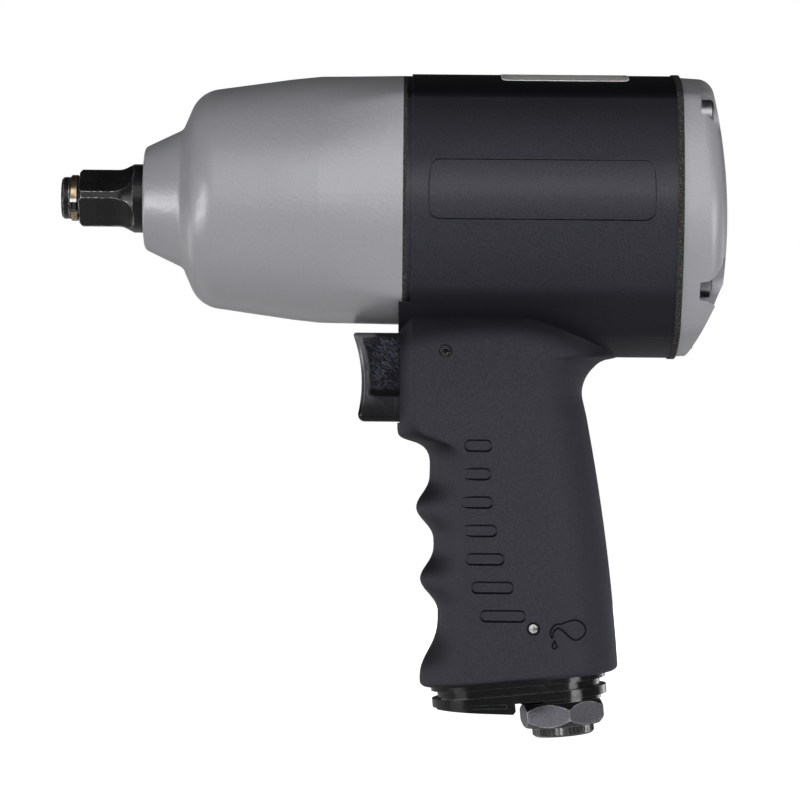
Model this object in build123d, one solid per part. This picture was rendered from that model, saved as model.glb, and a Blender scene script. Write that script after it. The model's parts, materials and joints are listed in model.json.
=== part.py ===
from build123d import *
import math
import os

# Air impact wrench: half-inch square drive, twin-hammer clutch, vane motor, pistol-grip body.
# Millimetres. X points forward out of the nose, Y to the tool's left, Z up.
# The origin lies on the drive axis at the shoulder behind the square.

# Fits shared by mating pieces, as the gap on one side
seat_fit = 0.01
pin_fit = 0.02
running_fit = 0.05
slip_fit = 0.10
bolt_clearance = 0.25
moving_gap = 0.30
free_gap = 0.40
gasket_inset = 0.5

# Cutting bodies: how far they stand past an open face, and a length beyond any piece
cut_past = 1.0
beyond = 120.0
seam_turn = 37.0

# Square drive and socket retainer
drive_square = 12.7
drive_corner_dia = 16.2
drive_length = 15.5
drive_turn = 4.0
drive_edge = 0.8
groove_length = 2.7
groove_dia = 7.6
tip_dia = 11.9
tip_length = 2.3
tip_edge = 0.6
shank_dia = 19.5
shoulder_flare = 3.2
shoulder_flare_blend = 5.0
flat_runout_radius = 6.8
flat_runout_past = 0.2
ring_dia = 13.1
ring_wall = 1.3
ring_width = 2.1
ring_gap_angle = 28.0
ring_gap_turn = -27.5
ring_edge = 0.25

# Hammer case, lengths measured back from the nose face
nose_standoff = 3.1
nose_dia = 29.0
nose_edge = 1.6
nose_length = 10.9
nose_root_dia = 39.4
nose_root_round = 2.6
shoulder_depth = 15.6
shoulder_drop = 9.1
shoulder_round = 9.5
taper_depth = 42.0
taper_drop = 1.7
taper_blend = 60.0
barrel_depth = 50.0
barrel_inset = 0.25
case_length = 73.3
case_cavity_depth = 17.5
case_cavity_dia = 58.0
case_cavity_mouth_dia = 48.0
case_cavity_slope = 4.8
bushing_wall = 2.2
bushing_lip = 1.5
case_gasket_thickness = 1.0

# Body section shared by the case rear, the housing, the gaskets and the cover
body_half_width = 35.8
body_top = 35.85
body_floor = 35.85
body_squareness = 0.80
body_corner_round = 5.0
body_step = 0.55
rim_length = 1.5
lip_overhang = 1.95
lip_top = 29.5
chin_front_drop = 2.2
chin_drop = 8.3
chin_corner_round = 10.0
chin_tuck = 0.6
chin_corner_share = 1.05
chin_start = 33.0
chin_end = 57.0
chin_steps = 4
body_length = 74.8
front_wall = 8.6
bolt_offset = 23.3
bolt_dia = 5.0
bolt_engagement = 10.0
bolt_end_gap = 1.0
bolt_head_dia = 8.5
bolt_head_height = 3.6
bolt_head_edge = 0.5
bolt_socket = 4.0
bolt_socket_depth = 2.2
nameplate_margin = 5.9
nameplate_height = 18.0
nameplate_depth = 0.4
nameplate_draft = 45.0
nameplate_start = 2.0
nameplate_round = 1.3
nameplate_rise = 1.6

# Rear gasket and cover
rear_gasket_thickness = 1.7
rear_gasket_proud = 0.35
cover_step = 0.4
cover_draft = 0.9
cover_depth = 14.4
cover_dome_radius = 155.0
cover_dome_drop = 5.5
cover_edge_round = 4.5
cover_seat_depth = 4.9
spigot_past_seat = 1.0
cover_pocket_dia = 14.4
cover_hollow_depth = 7.0
facet_lean = 25.4
facet_back = 3.0
facet_rise = 0.5

# Pistol handle
handle_half_width = 19.0
handle_neck_depth = 52.45
handle_back_lean = 11.9
handle_back_radius = 545.0
handle_back_nose = 16.0
handle_side_line = 22.0
block_nose = 4.5
block_bottom = 65.5
block_corner_round = 2.3
block_run = 6.0
block_blend_rise = 4.0
finger_root_round = 5.5
finger_root_run = 3.0
underside_slope = 18.0
finger_depth = 4.4
finger_pitch = 20.3
finger_setback = 4.85
finger_lean = 0.063
finger_valleys = 3
finger_sharpness = 1.5
foot_run = 17.0
foot_setback = 6.9
wave_steps = 8
crotch_round = 10.5
flank_round = 6.5
flank_sink = 0.03
flank_steps = 5
base_tilt = 5.6
base_height = 134.5
base_edge = 1.6
foot_past_base = 4.0
inlet_setback = 46.4
pill_count = 7
pill_first_drop = 69.4
pill_pitch = 7.94
pill_height = 3.65
pill_first_length = 8.1
pill_growth = 0.85
pill_setback = 17.3
pill_sweep = 0.36
pill_peak = 1.9
pill_depth = 0.7
pill_draft = 40.0

# Trigger and throttle valve
trigger_reach = 13.0
trigger_top = 37.8
trigger_height = 25.2
trigger_half_width = 8.5
trigger_hollow = 2.1
trigger_lean = 1.2
trigger_tail = 17.9
trigger_travel = 5.0
trigger_edge = 1.6
trigger_toe_round = 2.0
trigger_top_round = 0.8
trigger_roof = 1.2
trigger_flange = 2.0
trigger_pocket_height = 16.9
trigger_pocket_depth = 2.6
trigger_pocket_round = 0.8
trigger_pocket_past = 8.0
trigger_pin_dia = 3.0
trigger_pin_setback = 13.3
trigger_pin_drop = 42.95
valve_drop = 50.4
valve_bushing_dia = 15.0
valve_bushing_length = 8.2
valve_rod_dia = 4.0
valve_rod_socket = 6.0
valve_throat_length = 3.4
valve_seal_dia = 1.4
valve_ball_dia = 9.0
valve_seat_dia = 7.2
valve_chamber_length = 17.5
valve_chamber_step = 0.6
spring_coil_dia = 6.4
spring_wire_dia = 0.8
spring_turns = 5.0

# Inlet, exhaust deflector and dust plug, measured outward from the handle base
handle_pin_dia = 2.5
handle_pin_offset = 6.5
handle_pin_rise = 14.7
pin_inset = 0.5
pin_wall = 0.7
pin_slit = 0.5
pin_hollow = 6.0
flange_thickness = 1.4
flange_gap = 2.2
plate_thickness = 2.4
deflector_front = 36.5
deflector_back = 13.3
deflector_half_width = 16.5
deflector_groove = 1.7
deflector_front_nose = 14.0
deflector_back_nose = 13.0
hood_front_drop = 6.4
hood_back_drop = 9.0
hood_back = 13.4
hood_front_lean = 1.2
hood_edge = 0.8
hood_wall = 2.4
hood_front_wall = 5.0
hood_hollow_half_width = 9.0
hood_panel_setback = 10.0
hood_panel_lip = 1.0
hood_panel_depth = 0.8
hood_slots = 3
hood_slot_width = 3.0
hood_slot_half_length = 7.5
washer_thickness = 1.4
washer_dia = 23.2
hex_across_flats = 22.0
hex_height = 7.0
hex_turn = -7.7
hex_chamfer_angle = 46.0
hex_face_inset = 0.3
inlet_shank_dia = 16.4
inlet_shank_length = 18.0
inlet_thread_dia = 11.2
inlet_thread_length = 10.5
inlet_mouth_dia = 14.0
inlet_mouth_depth = 3.4
inlet_relief_dia = 11.8
inlet_relief_depth = 12.0
inlet_bore_dia = 9.6
inlet_passage_dia = 13.0
plug_dia = 17.6
plug_height = 2.8
plug_rib_depth = 0.35
plug_rib_count = 44
plug_edge = 0.7
plug_spigot_length = 3.0
screen_height = 9.0
screen_wall = 0.6
screen_hole_dia = 1.8
screen_rows = 2
screen_holes = 6
exhaust_length = 17.0
exhaust_half_width = 11.0
exhaust_wall = 3.4
exhaust_round = 4.0
exhaust_top_drop = 76.0
felt_height = 16.0
felt_gap = 0.5
duct_length = 7.0
duct_width = 4.6
duct_inner = 10.4
duct_setback = 21.5
duct_top = 20.0
duct_overlap = 6.0

# Vane motor
motor_cavity_dia = 54.6
end_plate_thickness = 10.0
shaft_gap = 3.0
exhaust_slot_pairs = 5
exhaust_slot_pitch = 7.0
exhaust_slot_width = 3.0
exhaust_slot_length = 12.0
exhaust_slot_angle = 30.0
cylinder_bore_dia = 42.4
cylinder_offset = 1.9
rotor_dia = 38.0
rotor_gap = 0.10
vane_count = 6
vane_thickness = 3.0
vane_height = 10.5
bearing_bore = 12.0
bearing_dia = 28.0
bearing_width = 8.0
bearing_ball_dia = 4.0
bearing_ball_count = 9
bearing_ring_wall = 2.6
bearing_lip = 3.0
cage_width = 2.8
cage_wall = 1.6
spline_count = 6
spline_depth = 1.1
spline_tooth = 2.4
spline_clearance = 0.1
dowel_dia = 3.0
dowel_radius = 23.3
dowel_depth = 6.0
dowel_end_gap = 0.5

# Twin-hammer clutch
flange_dia = 26.0
clutch_flange_thickness = 3.0
frame_dia = 53.0
frame_front_thickness = 6.5
frame_rear_thickness = 9.0
strut_inner = 19.6
clutch_rear_gap = 5.4
hammer_dia = 52.0
hammer_half_width = 16.4
hammer_bore_dia = 26.0
hammer_swing = 4.0
hammer_lug_reach = 9.4
hammer_lug_angle = 30.0
hammer_gap = 0.4
jaw_dia = 22.4
jaw_angle = 50.0
anvil_shaft_dia = 16.0
anvil_pilot_dia = 12.0
anvil_pilot_length = 4.0
hammer_pin_dia = 7.0
hammer_pin_radius = 20.0

# Reverse valve
reverse_drop = 34.5
reverse_spool_dia = 9.0
reverse_bushing_wall = 2.0
reverse_bushing_length = 24.0
reverse_stem_dia = 6.0
reverse_knob_dia = 14.0
reverse_knob_thickness = 2.5
reverse_recess_dia = 16.4
reverse_recess_depth = 2.6
reverse_tab_width = 3.4
reverse_tab_height = 4.0
reverse_tab_inner = 1.5
reverse_tab_inset = 0.4
reverse_stem_engagement = 1.75
reverse_turn = 60.0
reverse_port_dia = 5.0

# Diameters of the hammer case, whose barrel lies just inside the body's outline
barrel_dia = 2 * (body_half_width - body_step - barrel_inset)
taper_dia = barrel_dia - taper_drop
shoulder_dia = barrel_dia - shoulder_drop

# Stations along the drive axis
nose_x = -nose_standoff
case_rear_x = nose_x - case_length
housing_front_x = case_rear_x - case_gasket_thickness
housing_rear_x = housing_front_x - body_length
cover_front_x = housing_rear_x - rear_gasket_thickness
cover_seat_x = cover_front_x - cover_seat_depth
motor_front_x = housing_front_x - front_wall
cylinder_front_x = motor_front_x - end_plate_thickness
motor_rear_x = cover_front_x + cover_seat_depth + spigot_past_seat
cylinder_rear_x = motor_rear_x + end_plate_thickness
front_bearing_x = motor_front_x - bearing_width / 2
rear_bearing_x = motor_rear_x + bearing_width / 2

# Stations of the clutch, whose hammers share the length that the frame leaves them
cavity_front_x = nose_x - case_cavity_depth
bushing_rear_x = cavity_front_x + running_fit
flange_front_x = cavity_front_x - running_fit
flange_rear_x = flange_front_x - clutch_flange_thickness
frame_front_x = flange_rear_x - 2 * free_gap
frame_rear_x = case_rear_x + clutch_rear_gap
frame_rear_wall_x = frame_rear_x + frame_rear_thickness
front_hammer_x = frame_front_x - frame_front_thickness - hammer_gap
hammer_width = (front_hammer_x - frame_rear_wall_x - 2 * hammer_gap) / 2
rear_hammer_x = front_hammer_x - hammer_width - hammer_gap
pilot_end_x = frame_rear_wall_x - anvil_pilot_length
spline_front_x = pilot_end_x - 2 * free_gap

# Stations of the handle
handle_front_x = housing_front_x + lip_overhang
handle_neck_x = handle_front_x - handle_neck_depth
chin_z = -body_floor - chin_drop
inlet_x = handle_front_x - inlet_setback
trigger_tail_x = handle_front_x - trigger_tail
trigger_pin_x = handle_front_x - trigger_pin_setback
trigger_well_x = trigger_tail_x - trigger_travel - free_gap
valve_seat_x = trigger_well_x - valve_bushing_length
valve_ball_x = valve_seat_x - math.sqrt((valve_ball_dia / 2) ** 2 - (valve_seat_dia / 2) ** 2)
valve_chamber_end_x = valve_seat_x - valve_chamber_length
valve_bushing_x = (trigger_well_x + valve_seat_x) / 2

# Stations of the reverse valve
reverse_floor_x = cover_front_x - reverse_recess_depth
reverse_front_x = housing_rear_x + reverse_bushing_length
reverse_port_x = (reverse_front_x + housing_rear_x) / 2
reverse_bushing_dia = reverse_spool_dia + 2 * reverse_bushing_wall
reverse_stem_back_x = reverse_floor_x - reverse_stem_engagement

# Handle base: its plane, and distances outward from it along the inlet axis
base_lean = math.radians(base_tilt)
base = Plane(
    origin=(inlet_x, 0, -base_height),
    x_dir=(math.cos(base_lean), 0, -math.sin(base_lean)),
    z_dir=(-math.sin(base_lean), 0, -math.cos(base_lean)),
)
plate_s = flange_thickness + flange_gap
washer_s = plate_s + plate_thickness
hex_s = washer_s + washer_thickness
mouth_s = hex_s + hex_height
thread_s = mouth_s - inlet_mouth_depth
thread_end_s = thread_s - inlet_thread_length

bolt_places = [(y * bolt_offset, z * bolt_offset) for y in (1, -1) for z in (1, -1)]


def bar(x_front, x_back, diameter, y=0.0, z=0.0):
    """Round bar along X between two stations."""
    rod = Rot(0, 90, 0) * Rot(0, 0, seam_turn) * Cylinder(diameter / 2, abs(x_front - x_back))
    return Pos((x_front + x_back) / 2, y, z) * rod


def hole(x_front, x_back, diameter, y=0.0, z=0.0):
    """Round cut along X that stands past both of its ends."""
    return bar(x_front + cut_past, x_back - cut_past, diameter, y, z)


def bore(x_open, x_floor, diameter, y=0.0, z=0.0):
    """Round cut along X from an open end to its floor."""
    return bar(x_open + math.copysign(cut_past, x_open - x_floor), x_floor, diameter, y, z)


def ring(x_front, x_back, outer_dia, inner_dia):
    """Plain ring around the drive axis."""
    return bar(x_front, x_back, outer_dia) - hole(x_front, x_back, inner_dia)


def block(x_front, x_back, half_width, z_top, z_bottom):
    """Box given by its fore and aft stations, half width and heights."""
    size = (x_front - x_back, 2 * half_width, z_top - z_bottom)
    return Pos((x_front + x_back) / 2, 0, (z_top + z_bottom) / 2) * Box(*size)


def turned(face):
    """Solid of revolution about the drive axis from a flat outline in (x, radius)."""
    return revolve(Plane.XZ * face, Axis.X)


def corner_near(face, x, y):
    """Corner of a flat outline closest to a point."""
    return face.vertices().sort_by_distance((x, y, 0))[0]


def base_disc(s_from, s_to, diameter):
    """Disc on the inlet axis between two distances outward from the handle base."""
    disc = Rot(0, 0, seam_turn) * Cylinder(diameter / 2, s_to - s_from)
    return base * Pos(0, 0, (s_from + s_to) / 2) * disc


def cross_pin(x, z, diameter, half_length):
    """Round bar across the handle along Y."""
    return Pos(x, 0, z) * Rot(90, 0, 0) * Cylinder(diameter / 2, 2 * half_length)


def body_section(x, grow=0.0, chin=0.0):
    """Bulged square outline of the body at station x, widened by grow and lowered by chin."""
    half = body_half_width + grow
    top = body_top + grow
    floor = body_floor + chin + grow
    corner_y = body_squareness * half
    corner_z = body_squareness * top
    chin_y = corner_y - chin_tuck * chin
    chin_corner_z = -body_squareness * (floor - chin) - chin_corner_share * chin
    outline = Curve() + [
        ThreePointArc((-corner_y, corner_z), (0, top), (corner_y, corner_z)),
        ThreePointArc((corner_y, corner_z), (half, 0), (chin_y, chin_corner_z)),
        ThreePointArc((chin_y, chin_corner_z), (0, -floor), (-chin_y, chin_corner_z)),
        ThreePointArc((-chin_y, chin_corner_z), (-half, 0), (-corner_y, corner_z)),
    ]
    face = make_face(outline)
    upper = face.vertices().filter_by(lambda corner: corner.Y > 0)
    face = fillet(upper, body_corner_round)
    lower = [corner_near(face, side * chin_y, chin_corner_z) for side in (1, -1)]
    face = fillet(lower, chin_corner_round if chin else body_corner_round)
    return Plane.YZ.offset(x) * face


def body_slab(x_front, x_back, grow=0.0, chin=0.0):
    """Length of the body with a constant outline."""
    return loft([body_section(x_front, grow, chin), body_section(x_back, grow, chin)])


def oval(front, back, half_width, front_nose, back_nose):
    """Long outline with flat sides and elliptical ends; front and back lie on its long axis."""
    pull = 4 / 3 * (math.sqrt(2) - 1)
    shoulder_f = front - front_nose
    shoulder_b = back + back_nose
    handle_f = shoulder_f + pull * front_nose
    handle_b = shoulder_b - pull * back_nose
    w = half_width
    outline = Curve() + [
        Bezier((front, 0), (front, pull * w), (handle_f, w), (shoulder_f, w)),
        Line((shoulder_f, w), (shoulder_b, w)),
        Bezier((shoulder_b, w), (handle_b, w), (back, pull * w), (back, 0)),
        Bezier((back, 0), (back, -pull * w), (handle_b, -w), (shoulder_b, -w)),
        Line((shoulder_b, -w), (shoulder_f, -w)),
        Bezier((shoulder_f, -w), (handle_f, -w), (front, -pull * w), (front, 0)),
    ]
    return make_face(outline)


def spline_shape(x_front, x_back, grow=0.0):
    """Splined stub between rotor and hammer frame."""
    tip_r = bearing_bore / 2 - spline_clearance
    tooth = block(x_front, x_back, spline_tooth / 2 + grow, tip_r + grow, 0)
    teeth = [Rot(360 / spline_count * i, 0, 0) * tooth for i in range(spline_count)]
    return bar(x_front, x_back, 2 * (tip_r - spline_depth + grow)) + teeth


def drive_anvil():
    """Anvil: square drive, shank, thrust flange and the two jaws that the hammers strike."""
    groove_x = drive_length + groove_length
    tip_x = groove_x + tip_length
    corner_r = drive_corner_dia / 2
    shank_r = shank_dia / 2
    outline = Polyline(
        (tip_x, 0),
        (tip_x, tip_dia / 2 - tip_edge),
        (tip_x - tip_edge, tip_dia / 2),
        (groove_x, tip_dia / 2),
        (groove_x, groove_dia / 2),
        (drive_length, groove_dia / 2),
        (drive_length, corner_r - drive_edge),
        (drive_length - drive_edge, corner_r),
        (shoulder_flare, corner_r),
        (0, shank_r),
        (flange_front_x, shank_r),
        (flange_front_x, flange_dia / 2),
        (flange_rear_x, flange_dia / 2),
        (flange_rear_x, anvil_shaft_dia / 2),
        (frame_rear_wall_x + hammer_gap, anvil_shaft_dia / 2),
        (frame_rear_wall_x + hammer_gap, anvil_pilot_dia / 2),
        (pilot_end_x, anvil_pilot_dia / 2),
        (pilot_end_x, 0),
        close=True,
    )
    profile = make_face(outline)
    profile = fillet(corner_near(profile, shoulder_flare, corner_r), shoulder_flare_blend)
    flats = [Rot(45 + drive_turn + 90 * i, 0, 0) * drive_flat() for i in range(4)]
    return turned(profile) - flats + jaw(front_hammer_x, 0) + jaw(rear_hammer_x, 180)


def drive_flat():
    """Cut of one flat of the square, which runs out through the shank's edge on an arc."""
    half = drive_square / 2
    shank_r = shank_dia / 2
    front = drive_length + groove_length / 2
    sweep_angle = math.acos(1 - (shank_r - half) / flat_runout_radius)
    flat_end = flat_runout_radius * math.sin(sweep_angle) - flat_runout_past
    arc_middle = (
        flat_end - flat_runout_radius * math.sin(sweep_angle / 2),
        half + flat_runout_radius * (1 - math.cos(sweep_angle / 2)),
    )
    outline = Curve() + [
        Line((front, half), (flat_end, half)),
        ThreePointArc((flat_end, half), arc_middle, (-flat_runout_past, shank_r)),
        Line((-flat_runout_past, shank_r), (-flat_runout_past, shank_r + cut_past)),
        Line((-flat_runout_past, shank_r + cut_past), (front, shank_r + cut_past)),
        Line((front, shank_r + cut_past), (front, half)),
    ]
    return extrude(Plane.XZ * make_face(outline), shank_r, both=True)


def jaw(x_front, turn):
    """One anvil jaw as long as its hammer, centred on the given turn from the +Y side."""
    wedge = sector(jaw_dia / 2, jaw_angle)
    x_back = x_front - hammer_width + hammer_gap
    return Rot(turn, 0, 0) * extrude(Plane.YZ.offset(x_back) * wedge, hammer_width - 2 * hammer_gap)


def sector(radius, angle):
    """Flat sector of a disc, centred on the first axis."""
    reach = 2 * radius
    spread = reach * math.tan(math.radians(angle / 2))
    return Circle(radius) & make_face(Polyline((0, 0), (reach, -spread), (reach, spread), close=True))


def friction_ring():
    """Split ring that keeps a socket on the square."""
    middle = drive_length + groove_length / 2
    outer = ring_dia / 2
    half = ring_width / 2
    outline = Polyline(
        (middle + half, outer - ring_wall),
        (middle + half, outer - ring_edge),
        (middle + half - ring_edge, outer),
        (middle - half + ring_edge, outer),
        (middle - half, outer - ring_edge),
        (middle - half, outer - ring_wall),
        close=True,
    )
    gap = extrude(Plane.YZ.offset(middle) * sector(ring_dia, ring_gap_angle), groove_length, both=True)
    return turned(make_face(outline)) - Rot(ring_gap_turn, 0, 0) * gap


def friction_o_ring():
    """Rubber ring under the split ring."""
    inner = groove_dia / 2
    section_r = (ring_dia / 2 - ring_wall - inner) / 2
    return Pos(drive_length + groove_length / 2, 0, 0) * Rot(0, 90, 0) * Torus(inner + section_r, section_r)


def anvil_bushing():
    """Bronze sleeve that carries the anvil shank in the nose."""
    outer = shank_dia + 2 * bushing_wall
    return ring(nose_x - bushing_lip, bushing_rear_x, outer, shank_dia + 2 * running_fit)


def hammer_case():
    """Cast case: turned nose, shoulder and barrel that turns square toward the housing."""
    nose_root = (nose_x - nose_length, nose_root_dia / 2)
    shoulder = (nose_x - shoulder_depth, shoulder_dia / 2)
    taper = (nose_x - taper_depth, taper_dia / 2)
    barrel_x = nose_x - barrel_depth
    outline = Polyline(
        (nose_x, 0),
        (nose_x, nose_dia / 2),
        nose_root,
        shoulder,
        taper,
        (barrel_x, barrel_dia / 2),
        (barrel_x, 0),
        close=True,
    )
    profile = make_face(outline)
    profile = fillet(corner_near(profile, nose_x, nose_dia / 2), nose_edge)
    profile = fillet(corner_near(profile, *nose_root), nose_root_round)
    profile = fillet(corner_near(profile, *shoulder), shoulder_round)
    profile = fillet(corner_near(profile, *taper), taper_blend)
    barrel_end = Plane.YZ.offset(barrel_x) * Circle(barrel_dia / 2)
    case = turned(profile) + loft([barrel_end, body_section(case_rear_x, -body_step)])
    cavity = Polyline(
        (cavity_front_x, 0),
        (cavity_front_x, case_cavity_mouth_dia / 2),
        (cavity_front_x - case_cavity_slope, case_cavity_dia / 2),
        (case_rear_x - cut_past, case_cavity_dia / 2),
        (case_rear_x - cut_past, 0),
        close=True,
    )
    shank_hole = hole(nose_x, cavity_front_x, shank_dia + 2 * free_gap)
    bushing_seat = bore(cavity_front_x, nose_x - bushing_lip, shank_dia + 2 * bushing_wall)
    tap_dia = bolt_dia + 2 * pin_fit
    taps = [bore(case_rear_x, case_rear_x + bolt_engagement, tap_dia, y, z) for y, z in bolt_places]
    return case - [turned(make_face(cavity)), shank_hole, bushing_seat] - taps


def bolt_holes(x_front, x_back):
    """Clearance holes of the four long screws through a piece."""
    return [hole(x_front, x_back, bolt_dia + 2 * bolt_clearance, y, z) for y, z in bolt_places]


def case_gasket():
    """Fibre gasket between hammer case and housing."""
    sheet = body_slab(case_rear_x, housing_front_x, -body_step)
    opening = hole(case_rear_x, housing_front_x, case_cavity_dia + 2 * gasket_inset)
    return sheet - opening - bolt_holes(case_rear_x, housing_front_x)


def underside_drop():
    """Heights of the trigger block's underside: outer corner end, root start and root end."""
    turn = math.radians(90 - underside_slope)
    valley_x = handle_front_x - finger_setback - finger_depth
    corner_x = handle_front_x - block_corner_round * (1 - math.cos(turn))
    root_x = valley_x + finger_root_round * (1 - math.cos(turn))
    corner = block_bottom + block_corner_round * math.sin(turn)
    root = corner + (corner_x - root_x) * math.tan(math.radians(underside_slope))
    return corner, root, root + finger_root_round * math.sin(turn)


def finger_valley_drop():
    """Depth of the first finger valley below the drive axis."""
    return underside_drop()[2] + finger_root_run


def finger_crests():
    """Height and front of each finger valley and ridge in turn, and of the flared foot."""
    crests = []
    for i in range(2 * finger_valleys - 1):
        drop = i * finger_pitch / 2
        crest_x = handle_front_x - finger_setback - finger_lean * drop
        if i % 2 == 0:
            crest_x = crest_x - finger_depth
        crests.append((-finger_valley_drop() - drop, crest_x))
    foot_z = crests[-1][0] - foot_run
    crests.append((foot_z, handle_front_x - foot_setback))
    crests.append((foot_z - beyond, handle_front_x - foot_setback))
    return crests


def finger_front(z):
    """Front edge of the finger grip: eased waves with wide valleys and narrow ridges."""
    crests = finger_crests()
    for (z_high, x_high), (z_low, x_low) in zip(crests, crests[1:]):
        if z_low <= z <= z_high:
            along = (z_high - z) / (z_high - z_low)
            if x_low >= x_high:
                rise = (1 - math.cos(math.pi * along)) / 2
                return x_high + (x_low - x_high) * rise**finger_sharpness
            rise = (1 + math.cos(math.pi * along)) / 2
            return x_low + (x_high - x_low) * rise**finger_sharpness
    return crests[0][1]


def neck_stations():
    """Upper sections of the handle as (height, front, back, half width): flank and crotch arcs.

    The flank arc is tangent to the handle's side and to the arc of the body's floor.
    """
    floor_drop = body_floor + chin_front_drop
    corner_y = body_squareness * body_half_width - chin_tuck * chin_front_drop
    floor_sag = floor_drop - body_squareness * body_floor - chin_corner_share * chin_front_drop
    floor_radius = (corner_y**2 + floor_sag**2) / (2 * floor_sag)
    middle_y = handle_half_width + flank_round
    middle_drop = math.sqrt((floor_radius + flank_round) ** 2 - middle_y**2)
    flank_z = floor_radius - floor_drop - middle_drop + flank_sink
    flank_turn = math.atan2(middle_drop, middle_y)
    neck_z = chin_z - crotch_round
    stations = []
    for step in range(flank_steps + 1):
        turn = flank_turn * (1 - step / flank_steps)
        spread = flank_round * (1 - math.cos(turn))
        z = flank_z + flank_round * math.sin(turn)
        stations.append((z, handle_front_x, handle_neck_x - crotch_round, handle_half_width + spread))
    for angle in (85, 68, 48, 25, 0):
        turn = math.radians(angle)
        back = handle_neck_x - crotch_round * (1 - math.cos(turn))
        z = neck_z + crotch_round * math.sin(turn)
        stations.append((z, handle_front_x, back, handle_half_width))
    return stations


def front_edge():
    """Front edge of the grip as (height, front) points, from the trigger block to below the base."""
    turn = math.radians(90 - underside_slope)
    root_end = underside_drop()[2]
    valley_x = handle_front_x - finger_setback - finger_depth
    edge = [(-block_bottom + block_run, handle_front_x)]
    for angle in (0, turn / 2, turn):
        drop = block_bottom + block_corner_round * math.sin(angle)
        edge.append((-drop, handle_front_x - block_corner_round * (1 - math.cos(angle))))
    for angle in (turn, turn * 2 / 3, turn / 3, 0):
        drop = root_end - finger_root_round * math.sin(angle)
        edge.append((-drop, valley_x + finger_root_round * (1 - math.cos(angle))))
    valley_z = -finger_valley_drop()
    for step in range(wave_steps * (finger_valleys - 1) + 1):
        z = valley_z - step * finger_pitch / wave_steps
        edge.append((z, finger_front(z)))
    last_z = edge[-1][0]
    bottom_z = -base_height - inlet_setback * math.tan(base_lean) - foot_past_base
    for step in range(1, wave_steps + 1):
        z = last_z + (bottom_z - last_z) * step / wave_steps
        edge.append((z, finger_front(z)))
    return edge


def handle_stations():
    """Height, front, back, half width and front nose length of each section of the handle."""
    neck_z = chin_z - crotch_round
    stations = neck_stations()
    for z, front in front_edge():
        fall = neck_z - z
        back = handle_neck_x - fall * math.tan(math.radians(handle_back_lean))
        stations.append((z, front, back + fall**2 / (2 * handle_back_radius), handle_half_width))
    blend_top = -block_bottom + block_blend_rise
    blend_run = blend_top + finger_valley_drop()
    sections = []
    for z, front, back, half_width in stations:
        blend = min(1.0, max(0.0, (blend_top - z) / blend_run))
        blend = blend * blend * (3 - 2 * blend)
        long_nose = front - handle_front_x + handle_side_line
        nose = block_nose + blend * (long_nose - block_nose)
        sections.append((z, front, back, half_width, nose))
    return sections


def handle_solid():
    """Handle as one smooth loft from inside the body down to its rounded base edge."""
    faces = []
    for z, front, back, half_width, nose in handle_stations():
        faces.append(Plane.XY.offset(z) * oval(front, back, half_width, nose, handle_back_nose))
    handle = loft(faces) - below_base()
    return fillet(handle.edges().filter_by(lies_on_base), base_edge)


def lies_on_base(edge):
    """True for an edge in the plane of the handle base."""
    return all(abs(base.to_local_coords(corner.center()).Z) < seat_fit for corner in edge.vertices())


def below_base():
    """Space under the handle's tilted base."""
    return base * Pos(0, 0, beyond / 2) * Box(2 * beyond, beyond, beyond)


def nameplate_cuts():
    """Shallow bare recesses in both flanks of the body."""
    middle_x = (housing_front_x + housing_rear_x) / 2
    inner = body_slab(housing_front_x + cut_past, housing_rear_x - cut_past, -nameplate_depth)
    shrink = nameplate_start * math.tan(math.radians(nameplate_draft))
    length = body_length - 2 * nameplate_margin - 2 * shrink
    outline = RectangleRounded(length, nameplate_height - 2 * shrink, nameplate_round)
    cuts = []
    for side in (1, -1):
        start = Plane.XZ.offset(-side * (body_half_width - nameplate_start))
        placed = start * Pos(middle_x, nameplate_rise) * outline
        reach = nameplate_start + cut_past
        cuts.append(extrude(placed, reach, dir=(0, side, 0), taper=-nameplate_draft) - inner)
    return cuts


def pill_cuts():
    """Row of shallow grip recesses on both sides of the handle."""
    cuts = []
    shrink = pill_depth * math.tan(math.radians(pill_draft))
    for i in range(pill_count):
        length = pill_first_length + i * pill_growth
        front = handle_front_x - pill_setback - pill_sweep * (i - pill_peak) ** 2
        outline = SlotOverall(length - 2 * shrink, pill_height - 2 * shrink)
        slot = Pos(front - length / 2, -pill_first_drop - i * pill_pitch) * outline
        for side in (1, -1):
            floor = Plane.XZ.offset(-side * (handle_half_width - pill_depth))
            cuts.append(extrude(floor * slot, pill_depth + cut_past, dir=(0, side, 0), taper=-pill_draft))
    return cuts


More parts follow.
